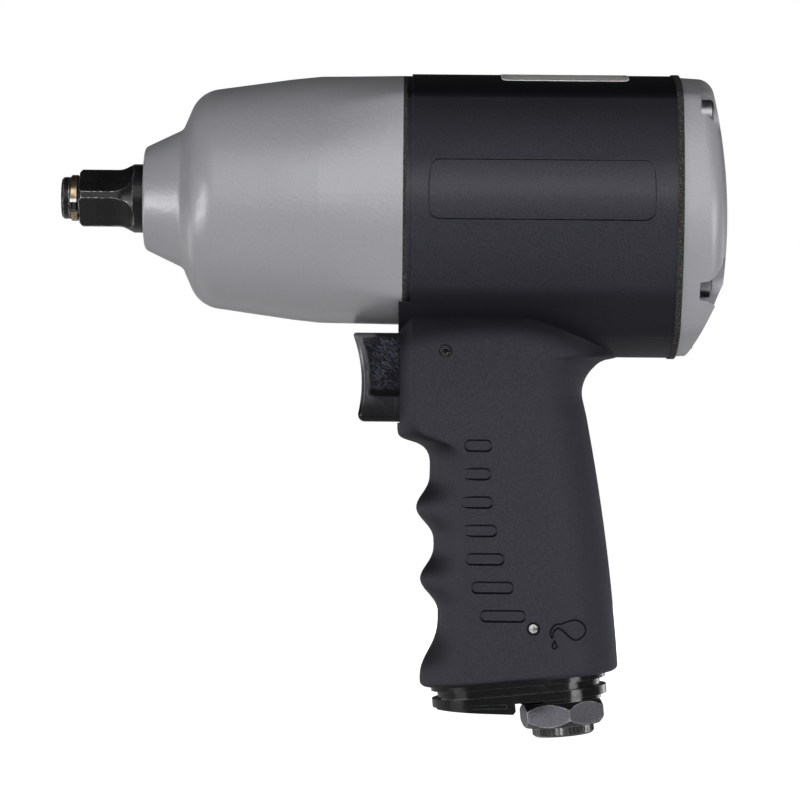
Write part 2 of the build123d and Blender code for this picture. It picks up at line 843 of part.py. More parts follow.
def motor_housing():
    """Composite moulding: motor body, trigger block and handle with their passages."""
    start_x = housing_front_x - rim_length
    chin_start_x = housing_front_x - chin_start
    chin_end_x = housing_front_x - chin_end
    rim = body_slab(housing_front_x, start_x, -body_step)
    body = rim + body_slab(start_x, chin_start_x, 0, chin_front_drop)
    chin = []
    for step in range(chin_steps + 1):
        along = step / chin_steps
        drop = chin_front_drop + (chin_drop - chin_front_drop) * along * along * (3 - 2 * along)
        chin.append(body_section(chin_start_x + (chin_end_x - chin_start_x) * along, 0, drop))
    body = body + loft(chin) + body_slab(chin_end_x, housing_rear_x, 0, chin_drop)
    lip = body_slab(handle_front_x, start_x, 0, chin_front_drop)
    lip = lip & block(handle_front_x, start_x, beyond, -lip_top, -beyond)
    well = trigger_well()
    housing = (body + lip - well) + (handle_solid() - well)
    case_space = body_slab(housing_front_x + beyond, housing_front_x, -body_step + slip_fit)
    above_lip = block(handle_front_x + cut_past, housing_front_x, beyond, beyond, -lip_top)
    motor_bay = bore(housing_rear_x, motor_front_x, motor_cavity_dia)
    shaft_hole = hole(housing_front_x, motor_front_x, bearing_dia - 2 * bearing_lip)
    housing = housing - [case_space, above_lip, motor_bay, shaft_hole]
    housing = housing - bolt_holes(housing_front_x, housing_rear_x)
    housing = housing - throttle_spaces() - exhaust_spaces() - reverse_spaces()
    trigger_pin_hole = cross_pin(trigger_pin_x, -trigger_pin_drop, trigger_pin_dia + 2 * pin_fit, beyond)
    housing = housing - [trigger_pin_hole, handle_pin_hole()]
    return housing - pill_cuts() - nameplate_cuts()


def trigger_well():
    """Space in the front of the block that the trigger slides in."""
    well_top = -trigger_top + moving_gap
    well_bottom = -trigger_top - trigger_height - moving_gap
    well_half_width = trigger_half_width + moving_gap
    return block(handle_front_x + cut_past, trigger_well_x, well_half_width, well_top, well_bottom)


def throttle_spaces():
    """Valve bore and the air inlet that meets it."""
    seat = bore(trigger_well_x, valve_seat_x, valve_bushing_dia + 2 * running_fit, 0, -valve_drop)
    chamber_dia = valve_bushing_dia - 2 * valve_chamber_step
    chamber = bore(valve_seat_x, valve_chamber_end_x, chamber_dia, 0, -valve_drop)
    inlet_rise = (base_height - valve_drop) / math.cos(base_lean)
    passage = base_disc(-inlet_rise, cut_past, inlet_passage_dia)
    shank_bore = base_disc(-inlet_shank_length - free_gap, cut_past, inlet_shank_dia + 2 * running_fit)
    return [seat, chamber, passage, shank_bore]


def exhaust_chamber(inset):
    """Upright space behind the finger grooves, open at the handle base."""
    front = handle_front_x - finger_setback - finger_depth - exhaust_wall - inset
    back = front - exhaust_length + 2 * inset
    space = block(front, back, exhaust_half_width - inset, -exhaust_top_drop, -base_height - exhaust_length)
    return fillet(space.edges().filter_by(Axis.Z), exhaust_round)


def exhaust_spaces():
    """Exhaust chamber in the front of the grip and the two ducts that feed it."""
    duct_front = handle_front_x - duct_setback
    duct_bottom = -exhaust_top_drop - duct_overlap
    duct = block(duct_front, duct_front - duct_length, duct_width / 2, -duct_top, duct_bottom)
    offset_y = duct_inner + duct_width / 2
    return [exhaust_chamber(0), Pos(0, offset_y, 0) * duct, Pos(0, -offset_y, 0) * duct]


def reverse_spaces():
    """Bore of the reverse valve with its feed from the throttle and its motor port."""
    seat = bore(housing_rear_x, reverse_front_x, reverse_bushing_dia + 2 * running_fit, 0, -reverse_drop)
    feed_x = valve_chamber_end_x + reverse_port_dia
    feed = bar(feed_x, reverse_front_x - cut_past, reverse_port_dia, 0, -reverse_drop)
    riser = Pos(feed_x - cut_past, 0, -(valve_drop + reverse_drop) / 2) * Cylinder(
        reverse_port_dia / 2, valve_drop - reverse_drop
    )
    port_top = motor_cavity_dia / 2 - cut_past
    port = Pos(reverse_port_x, 0, -(port_top + reverse_drop) / 2) * Cylinder(
        reverse_port_dia / 2, reverse_drop - port_top
    )
    return [seat, feed, riser, port]


def rear_gasket():
    """Thick fibre gasket between housing and rear cover."""
    sheet = body_slab(housing_rear_x, cover_front_x, rear_gasket_proud, chin_drop)
    opening = hole(housing_rear_x, cover_front_x, motor_cavity_dia + 2 * gasket_inset)
    stem = hole(housing_rear_x, cover_front_x, reverse_stem_dia + 2 * gasket_inset, 0, -reverse_drop)
    return sheet - [opening, stem] - bolt_holes(housing_rear_x, cover_front_x)


def rear_cover():
    """Cast cover: side wall, domed back, slanted lower facet, screw pockets and knob recess."""
    back_x = cover_front_x - cover_depth
    wall_start = body_section(cover_front_x, -cover_step, chin_drop)
    wall_end = body_section(back_x, -cover_step - cover_draft, chin_drop)
    ball = Pos(back_x + cover_dome_radius, 0, -cover_dome_drop) * Sphere(cover_dome_radius)
    cover = loft([wall_start, wall_end]) & ball
    dome = cover.faces().filter_by(GeomType.SPHERE)[0]
    cover = fillet(dome.edges(), cover_edge_round)
    lean = math.radians(facet_lean)
    facet = Plane(
        origin=(cover_front_x - facet_back, 0, chin_z + facet_rise),
        x_dir=(0, 1, 0),
        z_dir=(-math.cos(lean), 0, -math.sin(lean)),
    )
    cover = cover - facet * Pos(0, 0, beyond / 2) * Box(2 * beyond, 2 * beyond, beyond)
    inner_dia = bearing_dia - 2 * bearing_lip
    spigot = bar(motor_rear_x, cover_front_x - cut_past, motor_cavity_dia - 2 * slip_fit)
    cover = cover + spigot - bore(motor_rear_x, cover_front_x - cover_hollow_depth, inner_dia)
    cover = cover - bolt_holes(cover_front_x, cover_seat_x)
    pockets = [bar(cover_seat_x, cover_seat_x - beyond, cover_pocket_dia, y, z) for y, z in bolt_places]
    stem = hole(cover_front_x, reverse_floor_x, reverse_stem_dia + 2 * running_fit, 0, -reverse_drop)
    recess = bar(reverse_floor_x, reverse_floor_x - beyond, reverse_recess_dia, 0, -reverse_drop)
    return cover - pockets - [stem, recess]


def cover_screws():
    """Four long socket-head screws that clamp cover, housing and case together."""
    head_x = cover_seat_x - bolt_head_height
    socket = RegularPolygon(bolt_socket / 2, 6, major_radius=False)
    screws = []
    for y, z in bolt_places:
        shaft = bar(case_rear_x + bolt_engagement - bolt_end_gap, cover_seat_x, bolt_dia, y, z)
        head = bar(cover_seat_x, head_x, bolt_head_dia, y, z)
        head = chamfer(head.edges().sort_by(Axis.X)[0], bolt_head_edge)
        key = extrude(Plane.YZ.offset(head_x) * Pos(y, z) * socket, bolt_socket_depth)
        screws.append(shaft + head - key)
    return Compound(screws)


def end_plate(outer_x, inner_x):
    """Motor end plate with a bearing pocket in its outer face and a dowel hole in its inner face."""
    inward = math.copysign(1, inner_x - outer_x)
    plate = bar(outer_x, inner_x, motor_cavity_dia - 2 * running_fit)
    pocket = bore(outer_x, outer_x + inward * bearing_width, bearing_dia + 2 * seat_fit)
    shaft_hole = hole(max(outer_x, inner_x), min(outer_x, inner_x), bearing_bore + 2 * shaft_gap)
    dowel_hole_dia = dowel_dia + 2 * running_fit
    dowel_hole = bore(inner_x, inner_x - inward * dowel_depth, dowel_hole_dia, 0, -dowel_radius)
    return plate - [pocket, shaft_hole, dowel_hole]


def motor_cylinder():
    """Liner with its bore set off upward from the rotor axis, exhaust slots on the roof side."""
    liner = bar(cylinder_front_x, cylinder_rear_x, motor_cavity_dia - 2 * running_fit)
    work_bore = hole(cylinder_front_x, cylinder_rear_x, cylinder_bore_dia, 0, cylinder_offset)
    dowel = hole(cylinder_front_x, cylinder_rear_x, dowel_dia + 2 * running_fit, 0, -dowel_radius)
    middle = (cylinder_front_x + cylinder_rear_x) / 2
    slot_box = Box(exhaust_slot_width, exhaust_slot_length, motor_cavity_dia - rotor_dia)
    slots = []
    for i in range(exhaust_slot_pairs):
        x = middle + exhaust_slot_pitch * (i - (exhaust_slot_pairs - 1) / 2)
        for angle in (exhaust_slot_angle, -exhaust_slot_angle):
            slots.append(Pos(x, 0, 0) * Rot(angle, 0, 0) * Pos(0, 0, motor_cavity_dia / 2) * slot_box)
    return liner - [work_bore, dowel] - slots


def cylinder_dowel():
    """Dowel that keeps liner and end plates from turning."""
    reach = dowel_depth - dowel_end_gap
    return bar(cylinder_front_x + reach, cylinder_rear_x - reach, dowel_dia, 0, -dowel_radius)


def rotor():
    """Slotted rotor with journals and a splined nose."""
    front = cylinder_front_x - rotor_gap
    back = cylinder_rear_x + rotor_gap
    slot_floor = rotor_dia / 2 - vane_height - 2 * slip_fit
    slot = block(front + cut_past, back - cut_past, vane_thickness / 2 + slip_fit, rotor_dia, slot_floor)
    slots = [Rot(360 / vane_count * i, 0, 0) * slot for i in range(vane_count)]
    shaft = bar(motor_front_x, motor_rear_x, bearing_bore)
    return bar(front, back, rotor_dia) - slots + shaft + spline_shape(spline_front_x, motor_front_x)


def rotor_vanes():
    """Vanes drawn into their slots."""
    outer = rotor_dia / 2 - slip_fit
    front = cylinder_front_x - 2 * rotor_gap
    back = cylinder_rear_x + 2 * rotor_gap
    vane = block(front, back, vane_thickness / 2, outer, outer - vane_height)
    return Compound([Rot(360 / vane_count * i, 0, 0) * vane for i in range(vane_count)])


def bearing_race(middle):
    """Ball track of a bearing."""
    pitch_r = (bearing_bore + bearing_dia) / 4
    return Pos(middle, 0, 0) * Rot(0, 90, 0) * Torus(pitch_r, bearing_ball_dia / 2 + running_fit)


def bearing_outer(middle):
    """Outer ring of a motor bearing."""
    half = bearing_width / 2
    inner_dia = bearing_dia - 2 * bearing_ring_wall
    return ring(middle + half, middle - half, bearing_dia, inner_dia) - bearing_race(middle)


def bearing_inner(middle):
    """Inner ring of a motor bearing."""
    half = bearing_width / 2
    outer_dia = bearing_bore + 2 * bearing_ring_wall
    return ring(middle + half, middle - half, outer_dia, bearing_bore) - bearing_race(middle)


def bearing_balls(middle):
    """Balls held in their cage ring."""
    pitch_dia = (bearing_bore + bearing_dia) / 2
    half = cage_width / 2
    cage = ring(middle + half, middle - half, pitch_dia + cage_wall, pitch_dia - cage_wall)
    ball = Pos(middle, pitch_dia / 2, 0) * Sphere(bearing_ball_dia / 2)
    return cage + [Rot(360 / bearing_ball_count * i, 0, 0) * ball for i in range(bearing_ball_count)]


def hammer_frame():
    """Cage that the rotor turns: two plates joined by struts, bored for the hammer pins."""
    front_wall_x = frame_front_x - frame_front_thickness
    front = ring(frame_front_x, front_wall_x, frame_dia, anvil_shaft_dia + 2 * free_gap)
    rear = bar(frame_rear_wall_x, frame_rear_x, frame_dia)
    rear = rear - bore(frame_rear_wall_x, pilot_end_x - free_gap, anvil_pilot_dia + 2 * free_gap)
    rear = rear - spline_shape(frame_rear_wall_x, frame_rear_x - cut_past, running_fit)
    between = block(frame_front_x + cut_past, frame_rear_x - cut_past, strut_inner, beyond, -beyond)
    struts = bar(front_wall_x + cut_past, frame_rear_wall_x - cut_past, frame_dia) - between
    holes = []
    for z in (hammer_pin_radius, -hammer_pin_radius):
        holes.append(hole(frame_front_x, frame_rear_x, hammer_pin_dia + 2 * seat_fit, 0, z))
    return front + rear + struts - holes


def hammer_pins():
    """Two pins through the frame that carry the hammers."""
    pins = []
    for z in (hammer_pin_radius, -hammer_pin_radius):
        pins.append(bar(frame_front_x, frame_rear_x, hammer_pin_dia, 0, z))
    return Compound(pins)


def hammer(x_front, turn):
    """C-shaped hammer that swings on one pin and straddles the other."""
    x_back = x_front - hammer_width
    body = bar(x_front, x_back, hammer_dia) & block(x_front, x_back, hammer_half_width, beyond, -beyond)
    lug_sector = sector(hammer_bore_dia / 2 + cut_past, hammer_lug_angle)
    lug = extrude(Plane.YZ.offset(x_back) * lug_sector, hammer_width)
    lug = lug - hole(x_front, x_back, 2 * hammer_lug_reach)
    pivot = hole(x_front, x_back, hammer_pin_dia + 2 * running_fit, 0, hammer_pin_radius)
    sway = 2 * hammer_pin_radius * math.sin(math.radians(hammer_swing))
    notch_half = hammer_pin_dia / 2 + sway + free_gap
    notch = block(x_front + cut_past, x_back - cut_past, notch_half, 0, -beyond)
    body = body - hole(x_front, x_back, hammer_bore_dia) + Rot(90, 0, 0) * lug - [pivot, notch]
    return Rot(turn, 0, 0) * body


def trigger():
    """Trigger paddle with hollow flanks, a slot for its pin and a socket for the valve rod."""
    top = -trigger_top
    bottom = top - trigger_height
    front_x = handle_front_x + trigger_reach
    toe_x = front_x - trigger_lean
    front_middle = ((front_x + toe_x) / 2 - trigger_hollow, (top + bottom) / 2)
    outline = Curve() + [
        ThreePointArc((front_x, top), front_middle, (toe_x, bottom)),
        Line((toe_x, bottom), (trigger_tail_x, bottom)),
        Line((trigger_tail_x, bottom), (trigger_tail_x, top)),
        Line((trigger_tail_x, top), (front_x, top)),
    ]
    face = make_face(outline)
    face = fillet(corner_near(face, toe_x, bottom), trigger_toe_round)
    face = fillet(corner_near(face, front_x, top), trigger_top_round)
    paddle = extrude(Plane.XZ * face, trigger_half_width, both=True)
    rim = paddle.edges().filter_by(lies_on_trigger_rim)
    paddle = fillet(rim, trigger_edge)
    pocket_top = top - trigger_roof
    pocket_middle = pocket_top - trigger_pocket_height / 2
    pocket_back = handle_front_x - trigger_pocket_past
    flange_back = Curve() + [
        ThreePointArc(
            (front_x - trigger_flange, top),
            (front_middle[0] - trigger_flange, front_middle[1]),
            (toe_x - trigger_flange, bottom),
        ),
        Line((toe_x - trigger_flange, bottom), (pocket_back, bottom)),
        Line((pocket_back, bottom), (pocket_back, top)),
        Line((pocket_back, top), (front_x - trigger_flange, top)),
    ]
    band = Pos(pocket_back, pocket_middle) * Rectangle(2 * beyond, trigger_pocket_height)
    flank = make_face(flange_back) & band
    flank = Plane.XZ * fillet(flank.vertices(), trigger_pocket_round)
    flank = extrude(flank, trigger_pocket_depth, both=True)
    flanks = [Pos(0, trigger_half_width, 0) * flank, Pos(0, -trigger_half_width, 0) * flank]
    slot_dia = trigger_pin_dia + 2 * moving_gap
    slot = SlotOverall(trigger_travel + slot_dia, slot_dia)
    slot_place = Plane.XZ * Pos(trigger_pin_x + trigger_travel / 2, -trigger_pin_drop)
    slot_cut = extrude(slot_place * slot, trigger_half_width + cut_past, both=True)
    socket_floor_x = trigger_tail_x + valve_rod_socket
    socket = bore(trigger_tail_x, socket_floor_x, valve_rod_dia + 2 * seat_fit, 0, -valve_drop)
    return paddle - flanks - [slot_cut, socket]


def lies_on_trigger_rim(edge):
    """True for an edge along the side of the trigger's front face."""
    middle = edge.center()
    on_side = abs(abs(middle.Y) - trigger_half_width) < seat_fit
    between = -trigger_top - trigger_height + seat_fit < middle.Z < -trigger_top - seat_fit
    return on_side and between and middle.X > handle_front_x + trigger_reach / 2


def trigger_rod():
    """Rod from the trigger to the throttle ball."""
    ball_front_x = valve_ball_x + valve_ball_dia / 2
    return bar(trigger_tail_x + valve_rod_socket, ball_front_x, valve_rod_dia, 0, -valve_drop)


def throttle_valve():
    """Ball that closes the air path until the rod lifts it."""
    return Pos(valve_ball_x - pin_fit, 0, -valve_drop) * Sphere(valve_ball_dia / 2)


def valve_ring(section_dia):
    """Ring of round section sunk in the middle of the valve bushing's outside."""
    path_r = (valve_bushing_dia - valve_seal_dia) / 2
    return Pos(valve_bushing_x, 0, -valve_drop) * Rot(0, 90, 0) * Torus(path_r, section_dia / 2)


def valve_bushing():
    """Bronze bushing that guides the rod and forms the ball's seat."""
    sleeve = bar(trigger_well_x, valve_seat_x, valve_bushing_dia, 0, -valve_drop)
    guide = hole(trigger_well_x, valve_seat_x, valve_rod_dia + 2 * running_fit, 0, -valve_drop)
    throat = bore(valve_seat_x, valve_seat_x + valve_throat_length, valve_seat_dia, 0, -valve_drop)
    return sleeve - [guide, throat, valve_ring(valve_seal_dia + 2 * running_fit)]


def valve_seal():
    """Rubber ring around the valve bushing."""
    return valve_ring(valve_seal_dia)


def throttle_spring():
    """Coil spring that presses the ball onto its seat."""
    end_x = valve_chamber_end_x + spring_wire_dia / 2 + running_fit
    start_x = valve_ball_x - valve_ball_dia / 2 + spring_wire_dia / 2 + 2 * slip_fit
    height = start_x - end_x
    path = Helix(height / spring_turns, height, spring_coil_dia / 2)
    wire = Plane(path @ 0, z_dir=path % 0) * Circle(spring_wire_dia / 2)
    return Pos(end_x, 0, -valve_drop) * Rot(0, 90, 0) * sweep(wire, path=path)


def split_pin(x, z, diameter):
    """Spring pin with hollow ends that are split along their back."""
    half_length = handle_half_width - pin_inset
    core = cross_pin(x, z, diameter, half_length - pin_hollow)
    inside = cross_pin(x, z, diameter - 2 * pin_wall, half_length + cut_past)
    slit = Pos(x - diameter / 2, 0, z) * Box(diameter, 2 * (half_length + cut_past), pin_slit)
    return cross_pin(x, z, diameter, half_length) - [inside, slit] + core


def handle_pin_place():
    """Point where the handle pin crosses the middle plane, as x and z."""
    place = (base * Pos(handle_pin_offset, 0, -handle_pin_rise)).position
    return place.X, place.Z


def handle_pin_hole():
    """Hole of the handle pin through the handle and the inlet shank."""
    x, z = handle_pin_place()
    return cross_pin(x, z, handle_pin_dia + 2 * pin_fit, beyond)


def base_prism(points, half_width):
    """Prism across the handle whose side outline is given as (forward, outward) points from the base."""
    side = Plane(origin=(0, 0, 0), x_dir=(1, 0, 0), z_dir=(0, -1, 0))
    return extrude(side * make_face(Polyline(*points, close=True)), half_width, both=True)


def exhaust_deflector():
    """Plastic deflector under the grip: two flanges, a groove and a hood slotted underneath."""
    front = deflector_front
    back = -deflector_back
    half = deflector_half_width
    groove = deflector_groove
    front_nose = deflector_front_nose
    back_nose = deflector_back_nose
    wide = oval(front, back, half, front_nose, back_nose)
    narrow = oval(front - groove, back + groove, half - groove, front_nose - groove, back_nose - groove)
    hood_outline = [
        (front, plate_s),
        (front - hood_front_lean, hood_front_drop),
        (hood_back + hood_edge, hood_back_drop),
        (hood_back, hood_back_drop - hood_edge),
        (hood_back, plate_s),
    ]
    hood = base_prism(hood_outline, half + cut_past) & extrude(wide, hood_back_drop + cut_past)
    flanges = extrude(wide, flange_thickness) + Pos(0, 0, plate_s) * extrude(wide, plate_thickness)
    hollow_outline = [
        (front - hood_front_wall, -cut_past),
        (front - hood_front_wall, hood_front_drop - hood_wall),
        (hood_back + hood_wall, hood_back_drop - hood_wall),
        (hood_back + hood_wall, -cut_past),
    ]
    panel_outline = [
        (front - hood_panel_setback, hood_front_drop - hood_panel_lip),
        (front - hood_panel_setback, hood_front_drop),
        (hood_back + hood_wall, hood_back_drop - hood_panel_lip - hood_edge),
        (hood_back + hood_wall, washer_s),
    ]
    panels = base_prism(panel_outline, half + cut_past) - base_prism(panel_outline, half - hood_panel_depth)
    shape = flanges + extrude(narrow, washer_s) + hood
    hollow = base_prism(hollow_outline, hood_hollow_half_width)
    slots = []
    slot_room = front - hood_front_wall - hood_back - hood_wall
    for i in range(hood_slots):
        place = hood_back + hood_wall + slot_room * (i + 1) / (hood_slots + 1)
        slot = Box(hood_slot_width, 2 * hood_slot_half_length, hood_back_drop)
        slots.append(Pos(place, 0, hood_back_drop) * slot)
    shape = shape - [hollow, panels] - slots
    shank = base_disc(-cut_past, hood_back_drop + cut_past, inlet_shank_dia + 2 * slip_fit)
    return base * shape - shank


def inlet_washer():
    """Sealing washer between deflector and inlet hexagon."""
    opening = base_disc(washer_s - cut_past, hex_s + cut_past, inlet_shank_dia + 2 * pin_fit)
    return base_disc(washer_s, hex_s, washer_dia) - opening


def inlet_bushing():
    """Threaded inlet: chamfered hexagon outside, shank in the handle, hole for a tapered thread."""
    corner_r = hex_across_flats / math.sqrt(3)
    face_r = hex_across_flats / 2 - hex_face_inset
    drop = (corner_r - face_r) * math.tan(math.radians(hex_chamfer_angle))
    outline = Rot(0, 0, 90 + hex_turn) * RegularPolygon(hex_across_flats / 2, 6, major_radius=False)
    hexagon = extrude(Pos(0, 0, hex_s) * outline, hex_height)
    chamfered = Polyline(
        (0, hex_s),
        (face_r, hex_s),
        (corner_r, hex_s + drop),
        (corner_r, mouth_s - drop),
        (face_r, mouth_s),
        (0, mouth_s),
        close=True,
    )
    hexagon = hexagon & revolve(Plane.XZ * make_face(chamfered), Axis.Z)
    bushing = base * hexagon + base_disc(-inlet_shank_length, hex_s + cut_past, inlet_shank_dia)
    mouth = base_disc(thread_s, mouth_s + cut_past, inlet_mouth_dia)
    thread = base_disc(thread_end_s, mouth_s, inlet_thread_dia)
    relief = base_disc(-inlet_relief_depth, thread_end_s, inlet_relief_dia)
    air_bore = base_disc(-inlet_shank_length - cut_past, mouth_s, inlet_bore_dia)
    return bushing - [mouth, thread, relief, air_bore, handle_pin_hole()]


def inlet_screen():
    """Thimble-shaped screen standing on the inlet bushing."""
    foot = -inlet_shank_length
    top = foot - screen_height
    outer = inlet_passage_dia - 2 * slip_fit
    inside = base_disc(top + screen_wall, foot + cut_past, outer - 2 * screen_wall)
    drill = Pos(outer / 2, 0, 0) * Rot(0, 90, 0) * Cylinder(screen_hole_dia / 2, 4 * screen_wall)
    holes = []
    for row in range(screen_rows):
        s = foot - screen_height * (row + 1) / (screen_rows + 1)
        for i in range(screen_holes):
            turn = 360 / screen_holes * (i + row / 2)
            holes.append(base * Pos(0, 0, s) * Rot(0, 0, turn) * drill)
    return base_disc(top, foot, outer) - inside - holes


def muffler_felt():
    """Felt block that quiets the exhaust, standing on the deflector's flange."""
    slab = base * Pos(0, 0, -felt_height / 2) * Box(2 * beyond, beyond, felt_height)
    return exhaust_chamber(felt_gap) & slab


def dust_plug():
    """Ribbed transport plug pushed into the inlet."""
    outline = []
    for i in range(2 * plug_rib_count):
        angle = math.pi * i / plug_rib_count
        radius = plug_dia / 2 - plug_rib_depth * (i % 2)
        outline.append((radius * math.cos(angle), radius * math.sin(angle)))
    head = extrude(make_face(Polyline(*outline, close=True)), plug_height)
    rounded = Pos(0, 0, plug_height / 2) * Cylinder(plug_dia / 2, plug_height)
    rounded = chamfer(rounded.edges().sort_by(Axis.Z)[-1], plug_edge)
    spigot = base_disc(mouth_s - plug_spigot_length, mouth_s + cut_past, inlet_mouth_dia - 2 * running_fit)
    return base * Pos(0, 0, mouth_s) * (head & rounded) + spigot


def reverse_bushing():
    """Sleeve in the housing that the reverse spool turns in."""
    sleeve = bar(reverse_front_x, housing_rear_x, reverse_bushing_dia, 0, -reverse_drop)
    inside = hole(reverse_front_x, housing_rear_x, reverse_spool_dia + 2 * running_fit, 0, -reverse_drop)
    port_length = reverse_bushing_dia + cut_past
    ports = Pos(reverse_port_x, 0, -reverse_drop) * Cylinder(reverse_port_dia / 2, port_length)
    return sleeve - [inside, ports]


def reverse_spool():
    """Spool that sends air to one side of the motor or the other."""
    back = housing_rear_x + running_fit
    spool = bar(reverse_front_x, back, reverse_spool_dia, 0, -reverse_drop)
    stem = bar(back + cut_past, reverse_stem_back_x, reverse_stem_dia, 0, -reverse_drop)
    cross_dia = reverse_port_dia - 2 * moving_gap
    waist = Pos(reverse_port_x, 0, -reverse_drop) * Cylinder(cross_dia / 2, reverse_spool_dia + cut_past)
    core = bore(reverse_front_x, reverse_port_x, reverse_port_dia, 0, -reverse_drop)
    return spool + stem - [waist, core]


def reverse_knob():
    """Thumb knob in the cover's recess, its tab turned to the forward side at rest."""
    front = reverse_floor_x - slip_fit
    back = front - reverse_knob_thickness
    tab_top = reverse_knob_dia / 2 - reverse_tab_inset
    tab_back = back - reverse_tab_height
    tab = block(front - cut_past, tab_back, reverse_tab_width / 2, tab_top, reverse_tab_inner)
    tab = tab & bar(front, tab_back, 2 * tab_top)
    knob = Rot(-reverse_turn / 2, 0, 0) * (bar(front, back, reverse_knob_dia) + tab)
    stem_hole = bore(front, reverse_stem_back_x, reverse_stem_dia + 2 * seat_fit, 0, -reverse_drop)
    return Pos(0, 0, -reverse_drop) * knob - stem_hole


nodes = {
    "hammer_case": hammer_case(),
    "case_gasket": case_gasket(),
    "anvil": drive_anvil(),
    "friction_ring": friction_ring(),
    "friction_o_ring": friction_o_ring(),
    "anvil_bushing": anvil_bushing(),
    "hammer_frame": hammer_frame(),
    "hammer_pins": hammer_pins(),
    "front_hammer": hammer(front_hammer_x, 0),
    "rear_hammer": hammer(rear_hammer_x, 180),
    "motor_housing": motor_housing(),
    "front_end_plate": end_plate(motor_front_x, cylinder_front_x),
    "rear_end_plate": end_plate(motor_rear_x, cylinder_rear_x),
    "motor_cylinder": motor_cylinder(),
    "cylinder_dowel": cylinder_dowel(),
    "rotor": rotor(),
    "rotor_vanes": rotor_vanes(),
    "front_bearing_outer": bearing_outer(front_bearing_x),
    "front_bearing_inner": bearing_inner(front_bearing_x),
    "front_bearing_balls": bearing_balls(front_bearing_x),
    "rear_bearing_outer": bearing_outer(rear_bearing_x),
    "rear_bearing_inner": bearing_inner(rear_bearing_x),
    "rear_bearing_balls": bearing_balls(rear_bearing_x),
    "rear_gasket": rear_gasket(),
    "rear_cover": rear_cover(),
    "cover_screws": cover_screws(),
    "trigger": trigger(),
    "trigger_rod": trigger_rod(),
    "throttle_valve": throttle_valve(),
    "throttle_spring": throttle_spring(),
    "valve_bushing": valve_bushing(),
    "valve_seal": valve_seal(),
    "trigger_pin": split_pin(trigger_pin_x, -trigger_pin_drop, trigger_pin_dia),
    "handle_pin": split_pin(*handle_pin_place(), handle_pin_dia),
    "reverse_bushing": reverse_bushing(),
    "reverse_spool": reverse_spool(),
    "reverse_knob": reverse_knob(),
    "exhaust_deflector": exhaust_deflector(),
    "muffler_felt": muffler_felt(),
    "inlet_washer": inlet_washer(),
    "inlet_bushing": inlet_bushing(),
    "inlet_screen": inlet_screen(),
    "dust_plug": dust_plug(),
}

os.makedirs("parts", exist_ok=True)
for name, shape in nodes.items():
    export_step(shape, f"parts/{name}.step")
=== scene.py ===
import bmesh
import bpy
import json
import math
import numpy as np
from mathutils import Matrix, Vector

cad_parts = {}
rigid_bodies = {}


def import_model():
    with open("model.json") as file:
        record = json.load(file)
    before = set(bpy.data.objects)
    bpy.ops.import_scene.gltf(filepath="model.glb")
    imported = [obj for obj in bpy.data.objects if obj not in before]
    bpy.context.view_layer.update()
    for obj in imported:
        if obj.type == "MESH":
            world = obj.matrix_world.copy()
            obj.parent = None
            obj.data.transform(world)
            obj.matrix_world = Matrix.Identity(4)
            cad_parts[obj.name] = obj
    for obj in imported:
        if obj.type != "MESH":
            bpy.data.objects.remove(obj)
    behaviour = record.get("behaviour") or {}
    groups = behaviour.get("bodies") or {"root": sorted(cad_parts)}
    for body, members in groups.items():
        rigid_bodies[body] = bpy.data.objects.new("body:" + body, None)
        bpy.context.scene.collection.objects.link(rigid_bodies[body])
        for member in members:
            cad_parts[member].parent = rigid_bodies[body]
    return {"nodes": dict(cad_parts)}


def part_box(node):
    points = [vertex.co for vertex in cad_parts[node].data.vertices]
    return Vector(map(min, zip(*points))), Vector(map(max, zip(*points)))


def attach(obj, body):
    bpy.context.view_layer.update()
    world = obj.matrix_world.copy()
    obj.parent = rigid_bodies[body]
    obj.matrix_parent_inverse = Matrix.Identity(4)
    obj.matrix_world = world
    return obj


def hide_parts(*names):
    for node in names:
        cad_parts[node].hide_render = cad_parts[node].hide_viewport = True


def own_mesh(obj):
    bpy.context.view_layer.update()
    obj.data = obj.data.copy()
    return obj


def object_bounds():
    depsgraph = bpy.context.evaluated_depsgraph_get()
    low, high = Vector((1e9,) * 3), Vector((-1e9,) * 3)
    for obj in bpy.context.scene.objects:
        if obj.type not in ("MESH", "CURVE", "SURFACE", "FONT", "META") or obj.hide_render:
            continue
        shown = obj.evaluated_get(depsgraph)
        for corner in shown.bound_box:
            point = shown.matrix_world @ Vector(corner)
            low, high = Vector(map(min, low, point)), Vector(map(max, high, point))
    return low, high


for leftover in list(bpy.data.objects):
    bpy.data.objects.remove(leftover)
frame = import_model()
cad_low, cad_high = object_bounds()
nodes = frame["nodes"]


# Studio: a pale floor, low enough for the dust plug to be drawn out above it, and a white surround that is
# dim overhead. On each side three broad lamps, and at each end one, light the tool from its own height. Six
# soft boxes on each side lay the highlights along barrel, nose, tail and inlet.
def put(tree, kind, values=None, **settings):
    """One shader node: settings are its own properties, values fill or link its input sockets."""
    made = tree.nodes.new(kind)
    for name, value in settings.items():
        setattr(made, name, value)
    for socket, value in (values or {}).items():
        if isinstance(value, bpy.types.NodeSocket):
            tree.links.new(value, made.inputs[socket])
        else:
            made.inputs[socket].default_value = value
    return made


def calc(tree, operation, *terms):
    """Output of one Math node on numbers or sockets."""
    return put(tree, "ShaderNodeMath", dict(enumerate(terms)), operation=operation).outputs[0]


def ease(tree, value, low, high, start=0.0, end=1.0):
    """Value taken from low..high to start..end along a smooth step."""
    limits = {"Value": value, "From Min": low, "From Max": high, "To Min": start, "To Max": end}
    return put(tree, "ShaderNodeMapRange", limits, interpolation_type="SMOOTHSTEP").outputs["Result"]


def parts_of(tree, vector):
    """X, Y and Z of a vector."""
    return put(tree, "ShaderNodeSeparateXYZ", {"Vector": vector}).outputs


